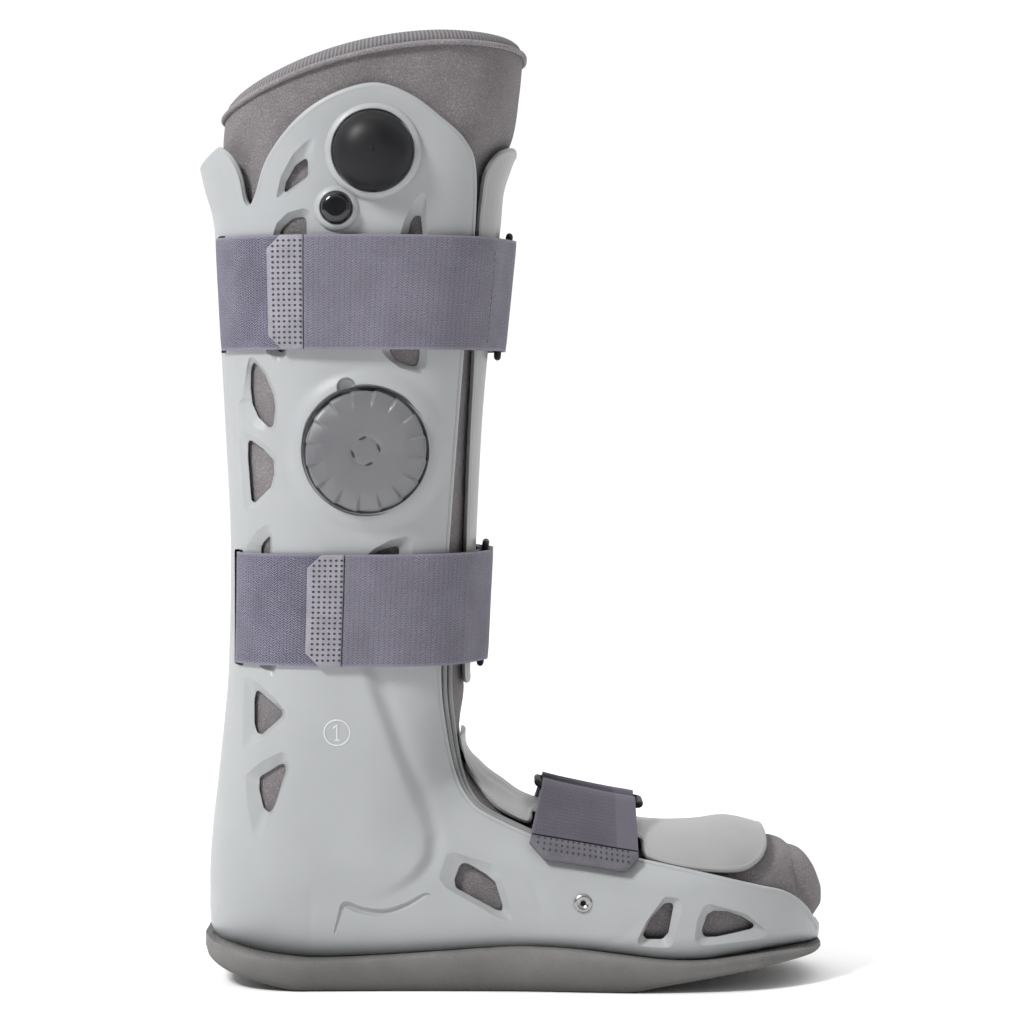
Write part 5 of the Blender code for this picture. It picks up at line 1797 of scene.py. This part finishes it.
# How far out, as a share of the dial's height, and the radius, as a share of the dial's
dialProfile = (
    (0.0, 0.985), (0.03, 1.0), (0.24, 1.0), (0.28, 0.992), (0.30, 0.962), (0.33, 0.958),
    (0.44, 0.964), (0.54, 0.966), (0.62, 0.962), (0.68, 0.952), (0.73, 0.932), (0.78, 0.900),
    (0.825, 0.860), (0.865, 0.815), (0.895, 0.770), (0.918, 0.725), (0.935, 0.690),
    (0.948, 0.650), (0.960, 0.600), (0.974, 0.520), (0.985, 0.420), (0.991, 0.320),
    (0.993, 0.236), (0.984, 0.229), (0.984, 0.219), (0.993, 0.212), (1.0, 0.120), (1.0, 0.030),
)
# One small slot in the dial's face: places along it and the radius at each
dialSlot = ((-0.0018, 0.00035), (-0.0009, 0.00062), (0.0, 0.00070), (0.0009, 0.00062),
            (0.0018, 0.00035))
rivetSizes = {
    "head": 0.0084 / 2,
    "stem": 0.0020,
    "sides": 40,
}


def makeBulb():
    spot = sidePoint(bulbPlace)
    side = sideWidth(*spot)
    foot, edge, steps = bulbSizes["foot"], bulbSizes["edge"], bulbSizes["steps"]
    base, top = side + clearance, side + bossRise + bulbSizes["rise"]
    levels = [(base, bulbRadius - edge), (base + edge, bulbRadius)]
    for step in range(1, steps):
        angle = step / steps * math.pi / 2
        levels.append((base + foot + (top - base - foot) * math.sin(angle) ** 0.92,
                       bulbRadius * math.cos(angle) ** 0.86))
    # the small sprue at the tip
    levels += [(top, 0.0012), (top + 0.0004, 0.0010), (top + 0.0005, 0.0005)]
    return turnedObject("pump_bulb_look", spot, levels, bulbSizes["sides"], bulbLook, 50)


def makeButton():
    spot = sidePoint(buttonPlace)
    side = sideWidth(*spot)
    dome, steps, flat = buttonSizes["dome"], buttonSizes["steps"], buttonSizes["flat"]
    low, top = side + clearance, side + bossRise + buttonSizes["rise"]
    levels = [(low, buttonRadius), (top - dome, buttonRadius)]
    for step in range(1, steps + 1):
        angle = step / steps * math.pi / 2 * 0.96
        levels.append((top - dome + dome * math.sin(angle),
                       buttonRadius * (flat + (1 - flat) * math.cos(angle))))
    levels += [(top, buttonRadius * 0.30), (top - 0.00005, buttonRadius * 0.05)]
    return turnedObject("release_button_look", spot, levels, buttonSizes["sides"], buttonLook, 50)


def makeDial():
    # The selector: a low dome with grip ridges on its rim, four small slots and a fine ring
    spot = sidePoint(dialPlace)
    side = sideWidth(*spot)
    sides, blades, slow = dialSizes["sides"], dialSizes["blades"], dialSizes["slowShare"]
    grid = []
    for out, share in dialProfile:
        inner = float(softStep(np.array(share), *dialSizes["bladeShares"]))
        outer = float(softStep(np.array(share), *dialSizes["rimShares"]))
        reach = inner * (1 - 0.5 * outer)
        ring = []
        for step in range(sides):
            angle = math.tau * step / sides
            # each blade rises slowly on one side and drops on the other
            saw = (angle * blades / math.tau + 0.3) % 1.0
            blade = saw / slow if saw < slow else (1 - saw) / (1 - slow)
            lift = (dialSizes["bladeRise"] * blade - dialSizes["bladeSink"]) * reach
            notch = dialSizes["notch"] * (1 - blade) * (0.94 < share < 0.98)
            r = dialRadius * share - notch
            y = side + clearance + out * dialSizes["height"] + lift
            ring.append((spot[0] + r * math.cos(angle), -y, spot[1] + r * math.sin(angle)))
        grid.append(ring)
    dial = loftObject("selector_dial_look", np.array(grid), dialLook, 28)
    # the foot of the dial lies in the gap between its edge and the bezel, and gets painted shade
    dial.data.materials.append(paintedShadeLook)
    for face in dial.data.polygons:
        if len(face.vertices) == 4 and max(face.vertices) < dialSizes["paintedShadeLevels"] * sides:
            face.material_index = 1
    parts = [dial]
    # the four slots are dark tubes of painted shade
    y = -(side + clearance + dialSizes["height"]) + dialSizes["slotSunk"]
    for angle in dialSizes["slotAngles"]:
        turn = math.radians(angle)
        cx = spot[0] + dialSizes["slotAt"] * math.cos(turn)
        cz = spot[1] + dialSizes["slotAt"] * math.sin(turn)
        lean = turn + math.radians(dialSizes["slotLean"])
        alongX, alongZ = -math.sin(lean), math.cos(lean)
        points = [(cx + alongX * place, y, cz + alongZ * place) for place, _ in dialSlot]
        parts.append(tubeObject("slot", points, [radius for _, radius in dialSlot], paintedShadeLook, 8))
    return joinObjects("selector_dial_look", parts)


def makeRivet(name, sideSign):
    spot = sidePoint(rivetPlace)
    first = len(legRows) + firstUprightRow
    row = rowAt(rows, placeWhere(rows, 0, spot[0], first, len(rows) - 2))
    points = sectionGrid(row, arcLine(row)[1])[0]
    head, stem, sides = rivetSizes["head"], rivetSizes["stem"], rivetSizes["sides"]
    surface = points[np.abs(points[:, 2] - spot[1]) < head][:, 1].max()
    seat = surface + seatGap - 0.0004
    # up the stem, over the head's rounded edge and down into its hollow middle, which gets painted
    # shade
    levels = [(surface - shellWall + 0.0003, stem), (seat, stem), (seat, head - 0.0001),
              (seat + 0.0004, head), (seat + 0.0009, head - 0.0005), (seat + 0.0012, head - 0.0012),
              (seat + 0.0010, head - 0.0019), (seat + 0.0003, 0.0013), (seat - 0.0012, 0.0011)]
    grid = np.array([circlePoints(spot, radius, sideSign * out, sides) for out, radius in levels])
    rivet = loftObject(name, grid, steelLook, 40)
    # painted shade in the head's hollow middle
    rivet.data.materials.append(paintedShadeLook)
    for face in rivet.data.polygons:
        if min(face.vertices) >= sides * (len(levels) - 2):
            face.material_index = 1
    return rivet


def addPiece(piece, body, slot, *nodes):
    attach(piece, body)
    if nodes:
        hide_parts(*nodes)


def build():
    addPiece(makeShell(), "boot", "shell_plastic", "rear_shell")
    print("shell made")
    addPiece(makeShinPanel(), "boot", "panel_plastic", "shin_panel")
    addPiece(makeFootPanel(), "boot", "panel_plastic", "foot_panel")
    print("panels made")
    liner = makeLiner()
    addPiece(liner, "boot", "liner_fabric", "liner")
    addPiece(makePiping(), "boot", "liner_fabric", "liner_piping")
    addPiece(makeSole(), "boot", "sole_rubber", "outsole")
    print("liner and sole made")
    for name, height, slot, tabEnd in (("upper", upperStrapHeight, upperSlot, upperTabEnd),
                                       ("lower", lowerStrapHeight, lowerSlot, lowerTabEnd)):
        strap, tabs = legStrap(f"{name}_strap_look", height, slot, tabEnd)
        addPiece(strap, "boot", "strap_webbing", f"{name}_strap")
        tab = hookTab(f"{name}_hook_tab_look", tabs, strapWidth, hookLook)
        addPiece(tab, "boot", "hook_patch", f"{name}_hook_tab")
        far, _ = legStrap(f"{name}_strap_far_look", height, slot)
        addPiece(far, "boot", "strap_webbing", f"{name}_strap_far")
        half = strapWidth / 2 + ringMargin
        middle = height * bootHeight
        ringLevels = legLevels(middle - half, middle + half, strapSizes["levels"])
        ring = ringObject(f"{name}_ring_look", ringLevels, 0.0)
        addPiece(ring, "boot", "black_plastic", f"{name}_ring")
    straps, tab, ring = makeFootStraps()
    addPiece(straps[0], "boot", "strap_webbing", "foot_strap")
    addPiece(straps[1], "boot", "strap_webbing", "foot_strap_far")
    addPiece(tab, "boot", "hook_patch", "foot_hook_tab")
    addPiece(ring, "boot", "black_plastic", "foot_ring")
    print("straps made")
    addPiece(makeBulb(), "boot", "bulb_rubber", "pump_bulb")
    addPiece(makeButton(), "valve", "black_plastic", "release_button")
    addPiece(makeDial(), "dial", "dial_plastic", "selector_dial")
    addPiece(makeRivet("rivet_look", -1.0), "boot", "rivet_steel", "rivet")
    addPiece(makeRivet("rivet_far_look", 1.0), "boot", "rivet_steel", "rivet_far")
    print("fittings made")


studio = {
    # the room's brightness: axis, direction from and to, strength from and to
    "room": ((1, -0.20, 0.15, 0.06, 1.05), (2, 0.25, 0.95, 0.0, 0.90)),
    # name, place, size in metres, power in watts
    "lamps": (("key", (-1.4, -1.4, 1.9), 0.6, 72.0), ("fill", (1.6, -1.4, 0.7), 1.2, 3.0)),
    "aim": (0.0, 0.0, 0.2),
    "lens": 106.8,
    "sensor": 36.0,
    "clipEnd": 20.0,
    "camera": (0.0, -1.400, 0.2646),
    "fall": 112 / 3038,
}


def addStudio():
    corners = [(-3, -3, 0), (3, -3, 0), (3, 3, 0), (-3, 3, 0)]
    floorLook = newMaterial("floor", (0.92, 0.92, 0.92), 0.9, specular=0.1)
    meshObject("floor", corners, [(0, 1, 2, 3)], floorLook, 0)
    # A white backdrop behind, a bright ceiling and a dimmer room in front
    world = bpy.data.worlds.new("studio")
    world.use_nodes = True
    tree = world.node_tree
    parts = tree.nodes.new("ShaderNodeSeparateXYZ")
    tree.links.new(tree.nodes.new("ShaderNodeTexCoord").outputs["Generated"], parts.inputs[0])
    total = tree.nodes.new("ShaderNodeMath")
    for index, (axis, *limits) in enumerate(studio["room"]):
        share = tree.nodes.new("ShaderNodeMapRange")
        tree.links.new(parts.outputs[axis], share.inputs["Value"])
        for name, value in zip(("From Min", "From Max", "To Min", "To Max"), limits):
            share.inputs[name].default_value = value
        tree.links.new(share.outputs["Result"], total.inputs[index])
    background = tree.nodes["Background"]
    background.inputs["Color"].default_value = (1.0, 1.0, 1.0, 1.0)
    tree.links.new(total.outputs[0], background.inputs["Strength"])
    bpy.context.scene.world = world
    bpy.context.scene.view_settings.view_transform = "Standard"
    for name, place, size, power in studio["lamps"]:
        lamp = bpy.data.lights.new(name, "AREA")
        lamp.shape = "DISK"
        lamp.size = size
        lamp.energy = power
        made = bpy.data.objects.new(name, lamp)
        made.location = place
        aim = Vector(studio["aim"]) - Vector(place)
        made.rotation_euler = aim.to_track_quat("-Z", "Y").to_euler()
        bpy.context.scene.collection.objects.link(made)


def addCamera():
    data = bpy.data.cameras.new("camera")
    data.lens = studio["lens"]
    data.sensor_width = data.sensor_height = studio["sensor"]
    data.clip_end = studio["clipEnd"]
    camera = bpy.data.objects.new("camera", data)
    camera.location = studio["camera"]
    camera.rotation_euler = (math.pi / 2 - math.atan(studio["fall"]), 0.0, 0.0)
    bpy.context.scene.collection.objects.link(camera)
    bpy.context.scene.camera = camera


addCamera()
build()
addStudio()
bpy.context.view_layer.update()
